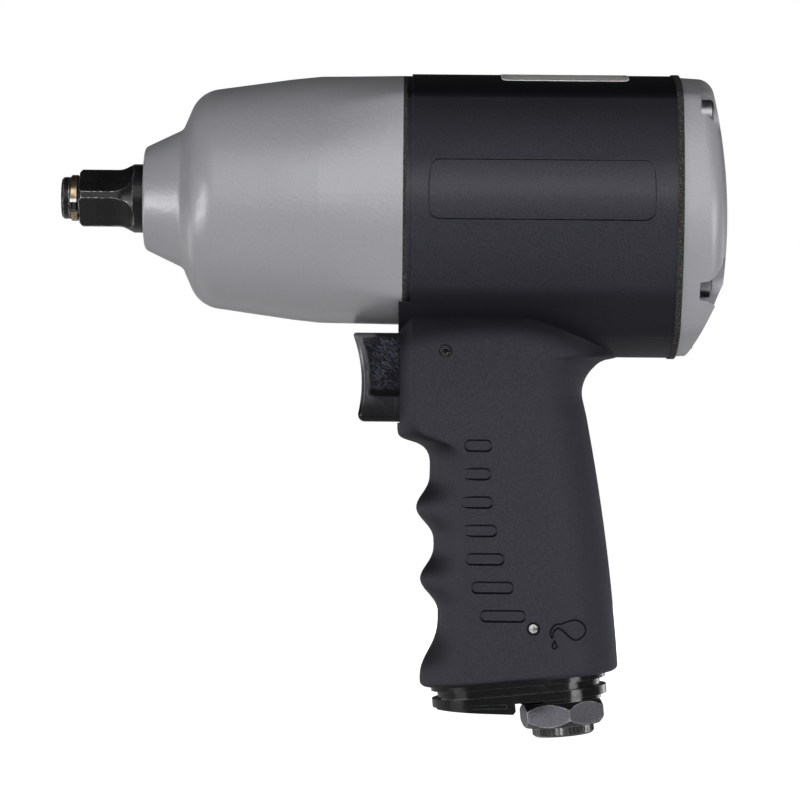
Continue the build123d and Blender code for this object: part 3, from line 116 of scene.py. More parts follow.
def distance(tree, place, point):
    """How far a place is from a point."""
    return put(tree, "ShaderNodeVectorMath", {0: place, 1: point}, operation="DISTANCE").outputs["Value"]


weld_reach = 1e-7


def grid_mesh(name, points, closed_u=False, closed_v=False):
    """Mesh of quads over a grid of points (rows, columns, 3), joined round where closed, poles welded."""
    rows, columns = points.shape[:2]
    index = np.arange(rows * columns).reshape(rows, columns)
    if closed_u:
        index = np.vstack([index, index[:1]])
    if closed_v:
        index = np.hstack([index, index[:, :1]])
    corners = [index[:-1, :-1], index[1:, :-1], index[1:, 1:], index[:-1, 1:]]
    quads = np.stack(corners, axis=-1).reshape(-1, 4)
    mesh = bpy.data.meshes.new(name)
    mesh.from_pydata(points.reshape(-1, 3).tolist(), [], quads.tolist())
    skin = bmesh.new()
    skin.from_mesh(mesh)
    bmesh.ops.remove_doubles(skin, verts=skin.verts, dist=weld_reach)
    bmesh.ops.recalc_face_normals(skin, faces=skin.faces)
    skin.to_mesh(mesh)
    skin.free()
    mesh.polygons.foreach_set("use_smooth", np.ones(len(mesh.polygons), bool))
    mesh.validate()
    made = bpy.data.objects.new(name, mesh)
    bpy.context.scene.collection.objects.link(made)
    return made


scene = bpy.context.scene
scene.view_settings.view_transform = "Standard"

plug_travel = 0.065
floor_gap = 0.0015
floor_height = cad_low.z - plug_travel - floor_gap
floor_reach = 6.0
floor_lines = 9
floor_across = np.linspace(-floor_reach, floor_reach, floor_lines)
floor_x, floor_y = np.meshgrid(floor_across, floor_across, indexing="ij")
floor = grid_mesh("floor", np.stack([floor_x, floor_y, np.full_like(floor_x, floor_height)], axis=-1))

# The lens sees floor and surround white. Reflections see the floor pale near the tool and the room dim.
barrel_middle = (-0.085, 0.0, 0.0)
floor_grey = (0.50, 0.50, 0.50, 1)
pure_white = (1, 1, 1, 1)
white_near, white_far = 0.92, 1.0
white_start, white_end = 0.25, 2.2
mirror_near, mirror_far = 0.82, 0.22
mirror_start, mirror_end = 0.34, 0.60
floor_finish = bpy.data.materials.new("studio_floor")
floor_finish.use_nodes = True
tree = floor_finish.node_tree
tree.nodes.clear()
rays = put(tree, "ShaderNodeLightPath")
mirrored = calc(tree, "MAXIMUM", rays.outputs["Is Glossy Ray"], rays.outputs["Is Transmission Ray"])
place = put(tree, "ShaderNodeTexCoord").outputs["Object"]
away = distance(tree, place, barrel_middle)
floor_white = ease(tree, away, white_start, white_end, white_near, white_far)
seen = calc(tree, "MULTIPLY", rays.outputs["Is Camera Ray"], floor_white)
floor_mirror = ease(tree, away, mirror_start, mirror_end, mirror_near, mirror_far)
mirrored = calc(tree, "MULTIPLY", mirrored, floor_mirror)
floor_glow = calc(tree, "MAXIMUM", seen, mirrored)
matte = put(tree, "ShaderNodeBsdfDiffuse", {"Color": floor_grey})
glow = put(tree, "ShaderNodeEmission", {"Color": pure_white, "Strength": floor_glow})
both = put(tree, "ShaderNodeAddShader", {0: matte.outputs[0], 1: glow.outputs[0]})
put(tree, "ShaderNodeOutputMaterial", {"Surface": both.outputs[0]})
floor.data.materials.append(floor_finish)

level_fill, overhead_fill = 0.32, 0.02
overhead = 0.50
end_share = 0.35
room_level, room_overhead = 0.60, 0.12
room_bottom, room_top = -0.04, 0.10
far_share = 0.14
far_start, near_start = -0.7, 0.2
world = bpy.data.worlds.new("studio_surround")
scene.world = world
world.use_nodes = True
tree = world.node_tree
tree.nodes.clear()
toward = put(tree, "ShaderNodeTexCoord").outputs["Generated"]
toward = parts_of(tree, toward)
height = calc(tree, "ABSOLUTE", toward["Z"])
across = calc(tree, "ABSOLUTE", toward["Y"])
sides = ease(tree, across, 0.0, 1.0, end_share, 1.0)
fill = ease(tree, height, 0.0, overhead, level_fill, overhead_fill)
fill = calc(tree, "MULTIPLY", fill, sides)
rays = put(tree, "ShaderNodeLightPath")
room = ease(tree, toward["Z"], room_bottom, room_top, room_level, room_overhead)
room = calc(tree, "MULTIPLY", room, ease(tree, toward["Y"], far_start, near_start, far_share, 1.0))
room = calc(tree, "MAXIMUM", room, rays.outputs["Is Camera Ray"])
shown = calc(tree, "MAXIMUM", rays.outputs["Is Camera Ray"], rays.outputs["Is Glossy Ray"])
shown = calc(tree, "MAXIMUM", shown, rays.outputs["Is Transmission Ray"])
strength = put(tree, "ShaderNodeMix", {"Factor": shown, "A": fill, "B": room}).outputs["Result"]
back = put(tree, "ShaderNodeBackground", {"Color": pure_white, "Strength": strength})
put(tree, "ShaderNodeOutputWorld", {"Surface": back.outputs[0]})


def soft_box(name, place, aim, width, height, power):
    """Rectangular lamp at a place, turned toward a point."""
    lamp = bpy.data.lights.new(name, "AREA")
    lamp.shape = "RECTANGLE"
    lamp.size = width
    lamp.size_y = height
    lamp.energy = power
    made = bpy.data.objects.new(name, lamp)
    made.rotation_mode = "QUATERNION"
    made.rotation_quaternion = (Vector(aim) - Vector(place)).to_track_quat("-Z", "Y")
    made.location = place
    scene.collection.objects.link(made)
    return made


# Each row: name, place on the near side, width, height and power. The far side has a share of that power.
inlet_middle = (-0.10, 0.0, -0.145)
barrel_bands = (
    ("high_band", (-0.10, 1.32, 0.71), 1.1, 0.72, 9.4),
    ("low_band", (-0.10, 1.485, 0.21), 1.1, 0.26, 4.2),
)
end_gleams = (
    ("nose_light", (1.20, 1.00, -0.02), 0.7, 0.26, 6.2),
    ("tail_light", (-1.15, 1.15, -0.02), 1.1, 0.16, 5.0),
)
inlet_gleams = (
    ("nose_base", (0.75, 0.34, -0.184), 0.60, 0.060, 3.8),
    ("tail_base", (-0.74, 0.66, -0.184), 0.46, 0.060, 2.0),
)
broad_lamps = (
    ("level_light", (-0.08, 1.8, 0.0), 1.2, 0.28, 20.0),
    ("nose_fill", (1.30, 0.90, 0.0), 0.6, 0.28, 4.0),
    ("tail_fill", (-1.45, 0.90, 0.0), 0.6, 0.28, 5.9),
)
far_band, far_gleam, far_broad = 0.03, 0.15, 0.7
for side, band, gleam, broad in ((1, 1.0, 1.0, 1.0), (-1, far_band, far_gleam, far_broad)):
    highlights = (
        (barrel_bands, barrel_middle, band),
        (end_gleams, barrel_middle, gleam),
        (inlet_gleams, inlet_middle, gleam),
    )
    for lamps, aim, share in highlights:
        for name, (x, y, z), width, height, power in lamps:
            highlight = soft_box(name, (x, y * side, z), aim, width, height, power * share)
            highlight.visible_diffuse = False
            highlight.visible_camera = False
    for name, (x, y, z), width, height, power in broad_lamps:
        spread = soft_box(name, (x, y * side, z), barrel_middle, width, height, power * broad)
        spread.visible_glossy = False
end_height = 0.10
end_width, end_depth = 0.8, 0.40
for end, power in ((1.9, 6.5), (-2.0, 4.0)):
    end_light = soft_box("end_light", (end, 0.0, end_height), barrel_middle, end_width, end_depth, power)
    end_light.visible_glossy = False

camera_place = (-0.0761, 1.0, -0.0568)
field_width = 0.228
camera_roll = 0.0085
lens = bpy.data.cameras.new("photo_camera")
lens.sensor_width = 36.0
lens.lens = lens.sensor_width * camera_place[1] / field_width
lens.clip_start = 0.05
lens.clip_end = 50.0
camera = bpy.data.objects.new("photo_camera", lens)
level = Matrix.Rotation(math.pi, 4, "Z") @ Matrix.Rotation(math.pi / 2, 4, "X")
camera.matrix_world = Matrix.Translation(camera_place) @ level @ Matrix.Rotation(camera_roll, 4, "Z")
scene.collection.objects.link(camera)
scene.camera = camera


# Motor housing: body, trigger block and handle moulded in one from glass-filled black nylon. The mould
# leaves a fine even grain, and hands and bench rub the edges pale. Painted shade darkens the top, the
# underside, a band under the body above an arch along the flank, and the gaps round the pins.
def shader_group(name, inputs, outputs):
    """Empty shader node group with named number or vector sockets, and its two end nodes."""
    tree = bpy.data.node_groups.new(name, "ShaderNodeTree")
    for socket, value in inputs.items():
        kind = "NodeSocketVector" if isinstance(value, tuple) else "NodeSocketFloat"
        tree.interface.new_socket(socket, in_out="INPUT", socket_type=kind).default_value = value
    for socket in outputs:
        tree.interface.new_socket(socket, in_out="OUTPUT", socket_type="NodeSocketFloat")
    return tree, tree.nodes.new("NodeGroupInput").outputs, tree.nodes.new("NodeGroupOutput").inputs


def use(tree, group, **values):
    """Outputs of a shader group placed in a material with its own values."""
    made = put(tree, "ShaderNodeGroup", None, node_tree=group)
    for socket, value in values.items():
        if isinstance(value, bpy.types.NodeSocket):
            tree.links.new(value, made.inputs[socket])
        else:
            made.inputs[socket].default_value = value
    return made.outputs


def noise(tree, vector, scale, detail=2.0, roughness=0.5):
    """Value of a noise texture."""
    values = {"Vector": vector, "Scale": scale, "Detail": detail, "Roughness": roughness}
    return put(tree, "ShaderNodeTexNoise", values).outputs["Fac"]


def new_finish(name, **fixed):
    """Material with one Principled shader whose constant values are set on its own sockets."""
    material = bpy.data.materials.new(name)
    material.use_nodes = True
    tree = material.node_tree
    tree.nodes.clear()
    shader = put(tree, "ShaderNodeBsdfPrincipled")
    for socket, value in fixed.items():
        shader.inputs[socket.replace("_", " ")].default_value = value
    put(tree, "ShaderNodeOutputMaterial", {"Surface": shader.outputs[0]})
    place = put(tree, "ShaderNodeTexCoord").outputs["Object"]
    return material, tree, shader, place


def mixed(tree, mask, below, above):
    """Colour between two colours or sockets by a mask."""
    made = put(tree, "ShaderNodeMix", {"Factor": mask}, data_type="RGBA")
    for socket, colour in ((6, below), (7, above)):
        if isinstance(colour, bpy.types.NodeSocket):
            tree.links.new(colour, made.inputs[socket])
        else:
            made.inputs[socket].default_value = (*colour, 1)
    return made.outputs[2]


def feed(tree, shader, **sockets):
    """Links sockets into the shader's inputs."""
    for name, value in sockets.items():
        tree.links.new(value, shader.inputs[name.replace("_", " ")])


def facing(tree):
    """X, Y and Z of the way that the surface faces."""
    return parts_of(tree, put(tree, "ShaderNodeNewGeometry").outputs["Normal"])


def bump(tree, height, strength, depth):
    """Normal raised by a height."""
    values = {"Height": height, "Strength": strength, "Distance": depth}
    return put(tree, "ShaderNodeBump", values).outputs["Normal"]


def dress(material, *names):
    """Gives a finish to CAD nodes."""
    for name in names:
        mesh = nodes[name].data
        mesh.materials.clear()
        mesh.materials.append(material)


moulded_grain, given, out = shader_group(
    "moulded_grain", {"Vector": (0, 0, 0), "Scale": 1500.0}, ["Height", "Tone"]
)
fine = noise(moulded_grain, given["Vector"], given["Scale"], 3.0, 0.6)
cells = put(
    moulded_grain,
    "ShaderNodeTexVoronoi",
    {"Vector": given["Vector"], "Scale": calc(moulded_grain, "MULTIPLY", given["Scale"], 0.8)},
    feature="SMOOTH_F1",
).outputs["Distance"]
moulded_grain.links.new(calc(moulded_grain, "MULTIPLY_ADD", cells, -0.5, fine), out["Height"])
moulded_grain.links.new(ease(moulded_grain, fine, 0.3, 0.7), out["Tone"])

handling_marks, given, out = shader_group(
    "handling_marks", {"Vector": (0, 0, 0), "Scale": 30.0}, ["Mask"]
)
clouds = noise(handling_marks, given["Vector"], given["Scale"], 5.0, 0.62)
handling_marks.links.new(ease(handling_marks, clouds, 0.36, 0.66), out["Mask"])

wear_values = {"Vector": (0, 0, 0), "Radius": 0.0005, "Breakup": 700.0, "Least": 0.02, "Most": 0.2}
edge_wear, given, out = shader_group("edge_wear", wear_values, ["Mask"])
rounded = put(edge_wear, "ShaderNodeBevel", {"Radius": given["Radius"]}, samples=6).outputs["Normal"]
surface = put(edge_wear, "ShaderNodeNewGeometry").outputs["Normal"]
along = put(edge_wear, "ShaderNodeVectorMath", {0: rounded, 1: surface}, operation="DOT_PRODUCT")
bend = calc(edge_wear, "SUBTRACT", 1.0, along.outputs["Value"])
worn = ease(edge_wear, bend, given["Least"], given["Most"])
patches = ease(edge_wear, noise(edge_wear, given["Vector"], given["Breakup"], 4.0, 0.65), 0.34, 0.6)
edge_wear.links.new(calc(edge_wear, "MULTIPLY", worn, patches), out["Mask"])

grain_dark, grain_pale = (0.0217, 0.0220, 0.0284), (0.0388, 0.0393, 0.0503)
handled_grey, worn_grey = (0.075, 0.075, 0.086), (0.085, 0.085, 0.090)
# Painted shade colours: for the underside and the band under the body, for the top, and for the pin gaps.
shaded_black, crown_shade_black = (0.0085, 0.0086, 0.0118), (0.0040, 0.0041, 0.0060)
pin_gap_shade = (0.0025, 0.0025, 0.0030)
grip_full, grip_start, handled_share = -0.062, -0.040, 0.09
# Where the painted shade falls: top and underside by the way they face, and a band above an arch along the
# flank.
crown_slope, crown_full = 0.04, 0.62
belly_full, belly_slope = -0.80, -0.15
crotch_back, crotch_front = -0.122, -0.112
crotch_low, crotch_high = -0.046, -0.041
arch_top, arch_middle, arch_blur = -0.0380, -0.1060, 0.0031
front_bend, back_bend = -4.6, -13.5
flank_low, flank_high = -0.029, -0.022
tail_back, tail_front, tail_shade = -0.140, -0.116, 0.76
pin_shade_blur = 0.0003
polish_height, polish_near, polish_far, polish_share = 0.0018, 0.0020, 0.0095, 0.16

composite, tree, shader, place = new_finish("composite", Specular_IOR_Level=0.07, Coat_Roughness=0.18)
grain = use(tree, moulded_grain, Vector=place, Scale=3400.0)
marks = use(tree, handling_marks, Vector=place, Scale=26.0)["Mask"]
rubbed = use(tree, edge_wear, Vector=place, Radius=0.0007, Breakup=500.0)["Mask"]
colour = mixed(tree, grain["Tone"], grain_dark, grain_pale)
spot = parts_of(tree, place)
handled = ease(tree, spot["Z"], grip_full, grip_start, handled_share, 0.0)
colour = mixed(tree, handled, colour, handled_grey)
# Painted shade: top and underside darker by the way they face, and a band under the body above an arch.
upward = facing(tree)["Z"]
crown = ease(tree, upward, crown_slope, crown_full)
belly = ease(tree, upward, belly_full, belly_slope, 1.0, 0.0)
crotch = ease(tree, spot["X"], crotch_back, crotch_front, 1.0, 0.0)
crotch = calc(tree, "MULTIPLY", crotch, ease(tree, spot["Z"], crotch_low, crotch_high, 1.0, 0.0))
belly = calc(tree, "MULTIPLY", belly, calc(tree, "SUBTRACT", 1.0, crotch))
ahead = calc(tree, "MAXIMUM", calc(tree, "SUBTRACT", spot["X"], arch_middle), 0.0)
behind = calc(tree, "MINIMUM", calc(tree, "SUBTRACT", spot["X"], arch_middle), 0.0)
arch = calc(tree, "MULTIPLY_ADD", calc(tree, "MULTIPLY", ahead, ahead), front_bend, arch_top)
arch = calc(tree, "MULTIPLY_ADD", calc(tree, "MULTIPLY", behind, behind), back_bend, arch)
arch_shade = ease(tree, calc(tree, "SUBTRACT", spot["Z"], arch), -arch_blur, arch_blur)
arch_shade = calc(tree, "MULTIPLY", arch_shade, ease(tree, spot["Z"], flank_low, flank_high, 1.0, 0.0))
shade = calc(tree, "MAXIMUM", belly, arch_shade)
shade = calc(tree, "MULTIPLY", shade, ease(tree, spot["X"], tail_back, tail_front, tail_shade, 1.0))
colour = mixed(tree, shade, colour, shaded_black)
colour = mixed(tree, crown, colour, crown_shade_black)
keep_flat = {0: place, 1: (1.0, 0.0, 1.0)}
flat_place = put(tree, "ShaderNodeVectorMath", keep_flat, operation="MULTIPLY").outputs[0]
# Painted shade: dark rings in the gaps round the trigger pin and the handle pin.
pin_shade_rings = 0.0
for pin, ring in (("trigger_pin", 0.0002), ("handle_pin", 0.0005)):
    pin_low, pin_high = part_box(pin)
    pin_middle = ((pin_low.x + pin_high.x) / 2, 0.0, (pin_low.z + pin_high.z) / 2)
    pin_radius = (pin_high.x - pin_low.x) / 2
    gap = distance(tree, flat_place, pin_middle)
    pin_ring_shade = ease(tree, gap, pin_radius + ring, pin_radius + ring + pin_shade_blur, 1.0, 0.0)
    pin_shade_rings = calc(tree, "MAXIMUM", pin_shade_rings, pin_ring_shade)
rubbed = calc(tree, "MULTIPLY", rubbed, calc(tree, "SUBTRACT", 1.0, pin_shade_rings))
colour = mixed(tree, calc(tree, "MULTIPLY", rubbed, 0.35), colour, worn_grey)
colour = mixed(tree, pin_shade_rings, colour, pin_gap_shade)
rough = calc(tree, "MULTIPLY_ADD", marks, 0.08, 0.56)
rough = calc(tree, "MULTIPLY_ADD", rubbed, -0.10, rough)
from_polish = calc(tree, "ABSOLUTE", calc(tree, "SUBTRACT", spot["Z"], polish_height))
polish = ease(tree, from_polish, polish_near, polish_far, polish_share, 0.0)
feed(tree, shader, Base_Color=colour, Roughness=rough, Coat_Weight=polish)
feed(tree, shader, Normal=bump(tree, grain["Height"], 0.32, 0.00010))
dress(composite, "motor_housing")


# Oil sign: a can with a long spout and a drop, standing up as thin lines low on the grip's left flank. The
# lines are part of the moulding and smooth, and coloured near black as painted shade.
def through(knots, steps):
    """Closed smooth line through knots: between two knots the cubic whose slope at each knot is half the
    way from the knot before it to the knot after it."""
    before, after, next_after = np.roll(knots, 1, 0), np.roll(knots, -1, 0), np.roll(knots, -2, 0)
    t = np.linspace(0, 1, steps, endpoint=False)[None, :, None]
    here, there = knots[:, None], after[:, None]
    leave, arrive = (after - before)[:, None] / 2, (next_after - knots)[:, None] / 2
    line = (2 * t**3 - 3 * t**2 + 1) * here + (3 * t**2 - 2 * t**3) * there
    line = line + (t**3 - 2 * t**2 + t) * leave + (t**3 - t**2) * arrive
    return line.reshape(-1, 2)


grip_top = -0.05465
grip_back = -0.1279
grip_lean = math.radians(11.9)
grip_bow_radius = 0.545
grip_rounding = 0.016
grip_half_width = 0.019
short_of_edge = 0.98


def grip_flank(x, z):
    """Half width of the grip at a place on its side: flat as far as a line a fixed way ahead of the back
    edge, then a quarter ellipse down to that edge, which leans back and bows by a large circle."""
    fall = grip_top - z
    back_edge = grip_back - fall * math.tan(grip_lean) + fall**2 / (2 * grip_bow_radius)
    behind = np.clip((back_edge + grip_rounding - x) / grip_rounding, 0.0, short_of_edge)
    return grip_half_width * np.sqrt(1 - behind**2)


def raised_line(name, line, width, height):
    """Closed ribbon on the grip: round a line of (x, z) places runs an ellipse, half sunk in the flank."""
    ahead = np.roll(line, -1, 0) - np.roll(line, 1, 0)
    side = np.stack([-ahead[:, 1], ahead[:, 0]], 1) / np.linalg.norm(ahead, axis=1)[:, None]
    ring_steps = 10
    turn = np.linspace(0, 2 * math.pi, ring_steps, endpoint=False)
    spread = line[:, None, :] + side[:, None, :] * (width / 2 * np.cos(turn))[None, :, None]
    lift = grip_flank(spread[..., 0], spread[..., 1]) + (height * np.sin(turn))[None, :]
    points = np.stack([spread[..., 0], lift, spread[..., 1]], -1)
    return grid_mesh(name, points, closed_u=True, closed_v=True)


# The can's knots are millimetres back and down from the front upper corner of the sign.
sign_corner = np.array([-0.1186, -0.1178])
can_knots = np.array([
    [0.45, 5.05], [0.12, 3.70], [0.62, 2.40], [1.70, 1.40], [3.10, 1.25], [5.00, 0.55], [7.00, 0.15],
    [8.70, 0.75], [9.90, 2.10], [10.05, 3.50], [9.25, 4.80], [7.80, 5.70], [6.40, 5.55], [4.75, 4.20],
    [3.40, 2.95], [2.35, 2.50], [1.40, 3.00], [0.90, 4.00], [0.75, 5.05],
]) * -0.001
drop_middle = np.array([-1.30, -7.10]) * 0.001
drop_steps = 40
drop_turn = np.linspace(0, 2 * math.pi, drop_steps, endpoint=False)
drop_half_width, drop_half_height = 0.00085, 0.0011
drop_point = 1.3
drop_side = drop_half_width * np.sin(drop_turn) * np.sin(drop_turn / 2) ** drop_point
drop_line = np.stack([drop_side, drop_half_height * np.cos(drop_turn)], 1)
line_width = 0.00050
line_height = 0.00020
knot_steps = 6
can_line = through(can_knots, knot_steps)
can_sign = raised_line("oil_can_sign", sign_corner + can_line, line_width, line_height)
drop_sign = raised_line("oil_drop_sign", sign_corner + drop_middle + drop_line, line_width, line_height)

# Painted shade: the sign's lines are near black.
sign_line_shade, tree, shader, place = new_finish("sign_painted_shade", Specular_IOR_Level=0.06)
marks = use(tree, handling_marks, Vector=place, Scale=400.0)["Mask"]
colour = mixed(tree, marks, (0.0010, 0.0010, 0.0013), (0.0030, 0.0030, 0.0036))
rough = calc(tree, "MULTIPLY_ADD", marks, 0.15, 0.35)
feed(tree, shader, Base_Color=colour, Roughness=rough)
for sign in (can_sign, drop_sign):
    sign.data.materials.append(sign_line_shade)
    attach(sign, "housing")


# Hammer case: an aluminium casting with a turned nose, sprayed in grey enamel. The enamel keeps a fine
# orange peel, glossy enough to mirror what stands close to it, and thins out along the edges.
orange_peel, given, out = shader_group(
    "orange_peel", {"Vector": (0, 0, 0), "Scale": 700.0}, ["Height", "Tone"]
)
peel = noise(orange_peel, given["Vector"], given["Scale"], 1.5, 0.4)
fleck = noise(orange_peel, given["Vector"], calc(orange_peel, "MULTIPLY", given["Scale"], 4.0), 1.0, 0.5)
orange_peel.links.new(calc(orange_peel, "MULTIPLY_ADD", fleck, 0.25, peel), out["Height"])
orange_peel.links.new(ease(orange_peel, fleck, 0.3, 0.7), out["Tone"])

enamel, tree, shader, place = new_finish("painted_casting", Specular_IOR_Level=0.5)
peel = use(tree, orange_peel, Vector=place, Scale=1000.0)
marks = use(tree, handling_marks, Vector=place, Scale=22.0)["Mask"]
thin = use(tree, edge_wear, Vector=place, Radius=0.0004, Breakup=900.0, Least=0.05, Most=0.3)["Mask"]
colour = mixed(tree, peel["Tone"], (0.292, 0.294, 0.313), (0.322, 0.324, 0.345))
colour = mixed(tree, calc(tree, "MULTIPLY", thin, 0.35), colour, (0.46, 0.46, 0.47))
rough = calc(tree, "MULTIPLY_ADD", marks, 0.03, 0.32)
feed(tree, shader, Base_Color=colour, Roughness=rough, Normal=bump(tree, peel["Height"], 0.62, 0.00012))
dress(enamel, "hammer_case", "rear_cover")


# Case gasket and rear gasket: pressed fibre sheet, stamped to the outline of the body and squeezed between
# the housing and the castings. The cut edge is dark and shows pale fibres.
def sheet_fibre(name, showing):
    """Dark gasket sheet whose pale fibres show by a share."""
    made, tree, shader, place = new_finish(name, Specular_IOR_Level=0.15)
    strands = put(tree, "ShaderNodeTexVoronoi", {"Vector": place, "Scale": 2800.0}, feature="F1")
    pale = ease(tree, strands.outputs["Distance"], 0.15, 0.40, 1.0, 0.0)
    lumps = noise(tree, place, 2200.0, 3.0, 0.7)
    pale = calc(tree, "MULTIPLY", pale, ease(tree, lumps, 0.36, 0.56, 0.0, showing))
    colour = mixed(tree, pale, (0.022, 0.0215, 0.021), (0.20, 0.192, 0.172))
    rough = ease(tree, lumps, 0.3, 0.7, 0.72, 0.92)
    feed(tree, shader, Base_Color=colour, Roughness=rough, Normal=bump(tree, lumps, 0.5, 0.00020))
    return made


dress(sheet_fibre("sealed_fibre", 0.75), "case_gasket")
dress(sheet_fibre("gasket_fibre", 1.0), "rear_gasket")


# Anvil and trigger pin: alloy steel, turned and milled, then blacked in hot oxide salts and oiled.
# Sockets rub the anvil's edges back to bright metal, and the turning marks run round the drive axis.
turned_marks, given, out = shader_group(
    "turned_marks", {"Vector": (0, 0, 0), "Pitch": 5000.0}, ["Height", "Tone"]
)
along = parts_of(turned_marks, given["Vector"])["X"]
line_values = {"W": along, "Scale": given["Pitch"], "Detail": 2.0}
lines = put(turned_marks, "ShaderNodeTexNoise", line_values, noise_dimensions="1D").outputs["Fac"]
turned_marks.links.new(lines, out["Height"])
turned_marks.links.new(ease(turned_marks, lines, 0.3, 0.7), out["Tone"])


def blacked(name, wear, radius):
    """Black steel whose edges are worn bright over a width, by a share of the full brightness."""
    made, tree, shader, place = new_finish(name, Specular_IOR_Level=0.15)
    lines = use(tree, turned_marks, Vector=place, Pitch=4200.0)
    marks = use(tree, handling_marks, Vector=place, Scale=160.0)["Mask"]
    bright = use(tree, edge_wear, Vector=place, Radius=radius, Breakup=900.0, Least=0.008, Most=0.06)
    bright = calc(tree, "MULTIPLY", bright["Mask"], wear)
    colour = mixed(tree, marks, (0.0025, 0.0025, 0.0032), (0.0065, 0.0065, 0.0075))
    colour = mixed(tree, calc(tree, "MULTIPLY", lines["Tone"], 0.45), colour, (0.022, 0.021, 0.022))
    colour = mixed(tree, bright, colour, (0.42, 0.41, 0.40))
    rough = calc(tree, "MULTIPLY_ADD", marks, 0.14, 0.20)
    feed(tree, shader, Base_Color=colour, Roughness=rough, Metallic=bright)
    feed(tree, shader, Normal=bump(tree, lines["Height"], 0.30, 0.00006))
    return made


dress(blacked("black_steel", 1.0, 0.0005), "anvil")
dress(blacked("black_pin", 0.45, 0.0002), "trigger_pin")


# Friction ring and bushings: bronze, rolled from strip or turned from bar. It carries a thin brown tarnish
# that is rubbed off along the edges, and the ring is coloured near white where it is split.
cut_drop = 0.00235
split_white_near, split_white_far = 0.0013, 0.0021
split_white_side = 0.002


def bronze(name, split_white):
    """Tarnished bronze, near white by a share on the side and at the height where a split ring is cut."""
    made, tree, shader, place = new_finish(name, Metallic=1.0)
    lines = use(tree, turned_marks, Vector=place, Pitch=3600.0)
    marks = use(tree, handling_marks, Vector=place, Scale=240.0)["Mask"]
    bright = use(tree, edge_wear, Vector=place, Radius=0.0003, Breakup=1200.0)["Mask"]
    colour = mixed(tree, marks, (0.27, 0.210, 0.140), (0.12, 0.092, 0.064))
    colour = mixed(tree, bright, colour, (0.60, 0.51, 0.38))
    spot = parts_of(tree, place)
    from_cut = calc(tree, "ABSOLUTE", calc(tree, "ADD", spot["Z"], cut_drop))
    cut = ease(tree, from_cut, split_white_near, split_white_far, split_white, 0.0)
    cut = calc(tree, "MULTIPLY", cut, ease(tree, spot["Y"], 0.0, split_white_side))
    colour = mixed(tree, cut, colour, (0.96, 0.94, 0.90))
    rough = calc(tree, "MULTIPLY_ADD", marks, 0.18, 0.24)
    feed(tree, shader, Base_Color=colour, Roughness=rough, Normal=bump(tree, lines["Height"], 0.2, 0.00005))
    return made


dress(bronze("ring_bronze", 1.0), "friction_ring")
dress(bronze("bushing_bronze", 0.0), "anvil_bushing", "valve_bushing", "reverse_bushing")


# Rubber rings and the throttle ball: moulded from nitrile rubber, matt black with a slight bloom. The rings
# are stretched into their grooves, and the ball closes the seat of the valve.
rubber, tree, shader, place = new_finish("seal_rubber", Specular_IOR_Level=0.35)
bloom = use(tree, handling_marks, Vector=place, Scale=420.0)["Mask"]
grain = use(tree, moulded_grain, Vector=place, Scale=5200.0)
colour = mixed(tree, bloom, (0.012, 0.012, 0.012), (0.028, 0.028, 0.028))
rough = calc(tree, "MULTIPLY_ADD", bloom, 0.2, 0.5)
feed(tree, shader, Base_Color=colour, Roughness=rough, Normal=bump(tree, grain["Height"], 0.2, 0.00004))
dress(rubber, "friction_o_ring", "valve_seal", "throttle_valve")


# Clutch and motor metals: hammers, hammer frame, rotor, end plates, dowel and spool are machined steel, the
# bearings and hammer pins are ground, handle pin, trigger rod and inlet screen are bright, the screws are
# dark with oil, and the motor's cylinder is cast iron.
def steel(name, dark, pale, least_rough, most_rough, pitch):
    """Steel finish between two tones, with machining lines of the given count per metre."""
    made, tree, shader, place = new_finish(name, Metallic=1.0)
    lines = use(tree, turned_marks, Vector=place, Pitch=pitch)
    marks = use(tree, handling_marks, Vector=place, Scale=120.0)["Mask"]
    edge = use(tree, edge_wear, Vector=place, Radius=0.0004, Breakup=800.0)["Mask"]
    colour = mixed(tree, marks, dark, pale)
    colour = mixed(tree, calc(tree, "MULTIPLY", edge, 0.6), colour, (0.70, 0.69, 0.68))
    rough = ease(tree, marks, 0.0, 1.0, least_rough, most_rough)
    feed(tree, shader, Base_Color=colour, Roughness=rough, Normal=bump(tree, lines["Height"], 0.2, 0.00005))
    return made


machined = steel("machined_steel", (0.36, 0.36, 0.37), (0.46, 0.46, 0.46), 0.26, 0.40, 2600.0)
dress(machined, "hammer_frame", "front_hammer", "rear_hammer", "rotor", "front_end_plate", "rear_end_plate")
dress(machined, "cylinder_dowel", "reverse_spool")
ground = steel("bearing_steel", (0.52, 0.52, 0.53), (0.62, 0.62, 0.62), 0.12, 0.24, 9000.0)
dress(ground, "front_bearing_outer", "front_bearing_inner", "front_bearing_balls")
dress(ground, "rear_bearing_outer", "rear_bearing_inner", "rear_bearing_balls", "hammer_pins")
drawn = steel("bright_steel", (0.52, 0.52, 0.51), (0.68, 0.67, 0.66), 0.20, 0.34, 7000.0)
dress(drawn, "handle_pin", "trigger_rod", "inlet_screen")
oiled = steel("oiled_steel", (0.14, 0.14, 0.15), (0.26, 0.26, 0.27), 0.28, 0.42, 3200.0)
dress(oiled, "cover_screws")
iron = steel("cylinder_iron", (0.24, 0.24, 0.25), (0.34, 0.34, 0.34), 0.38, 0.55, 1400.0)
dress(iron, "motor_cylinder")


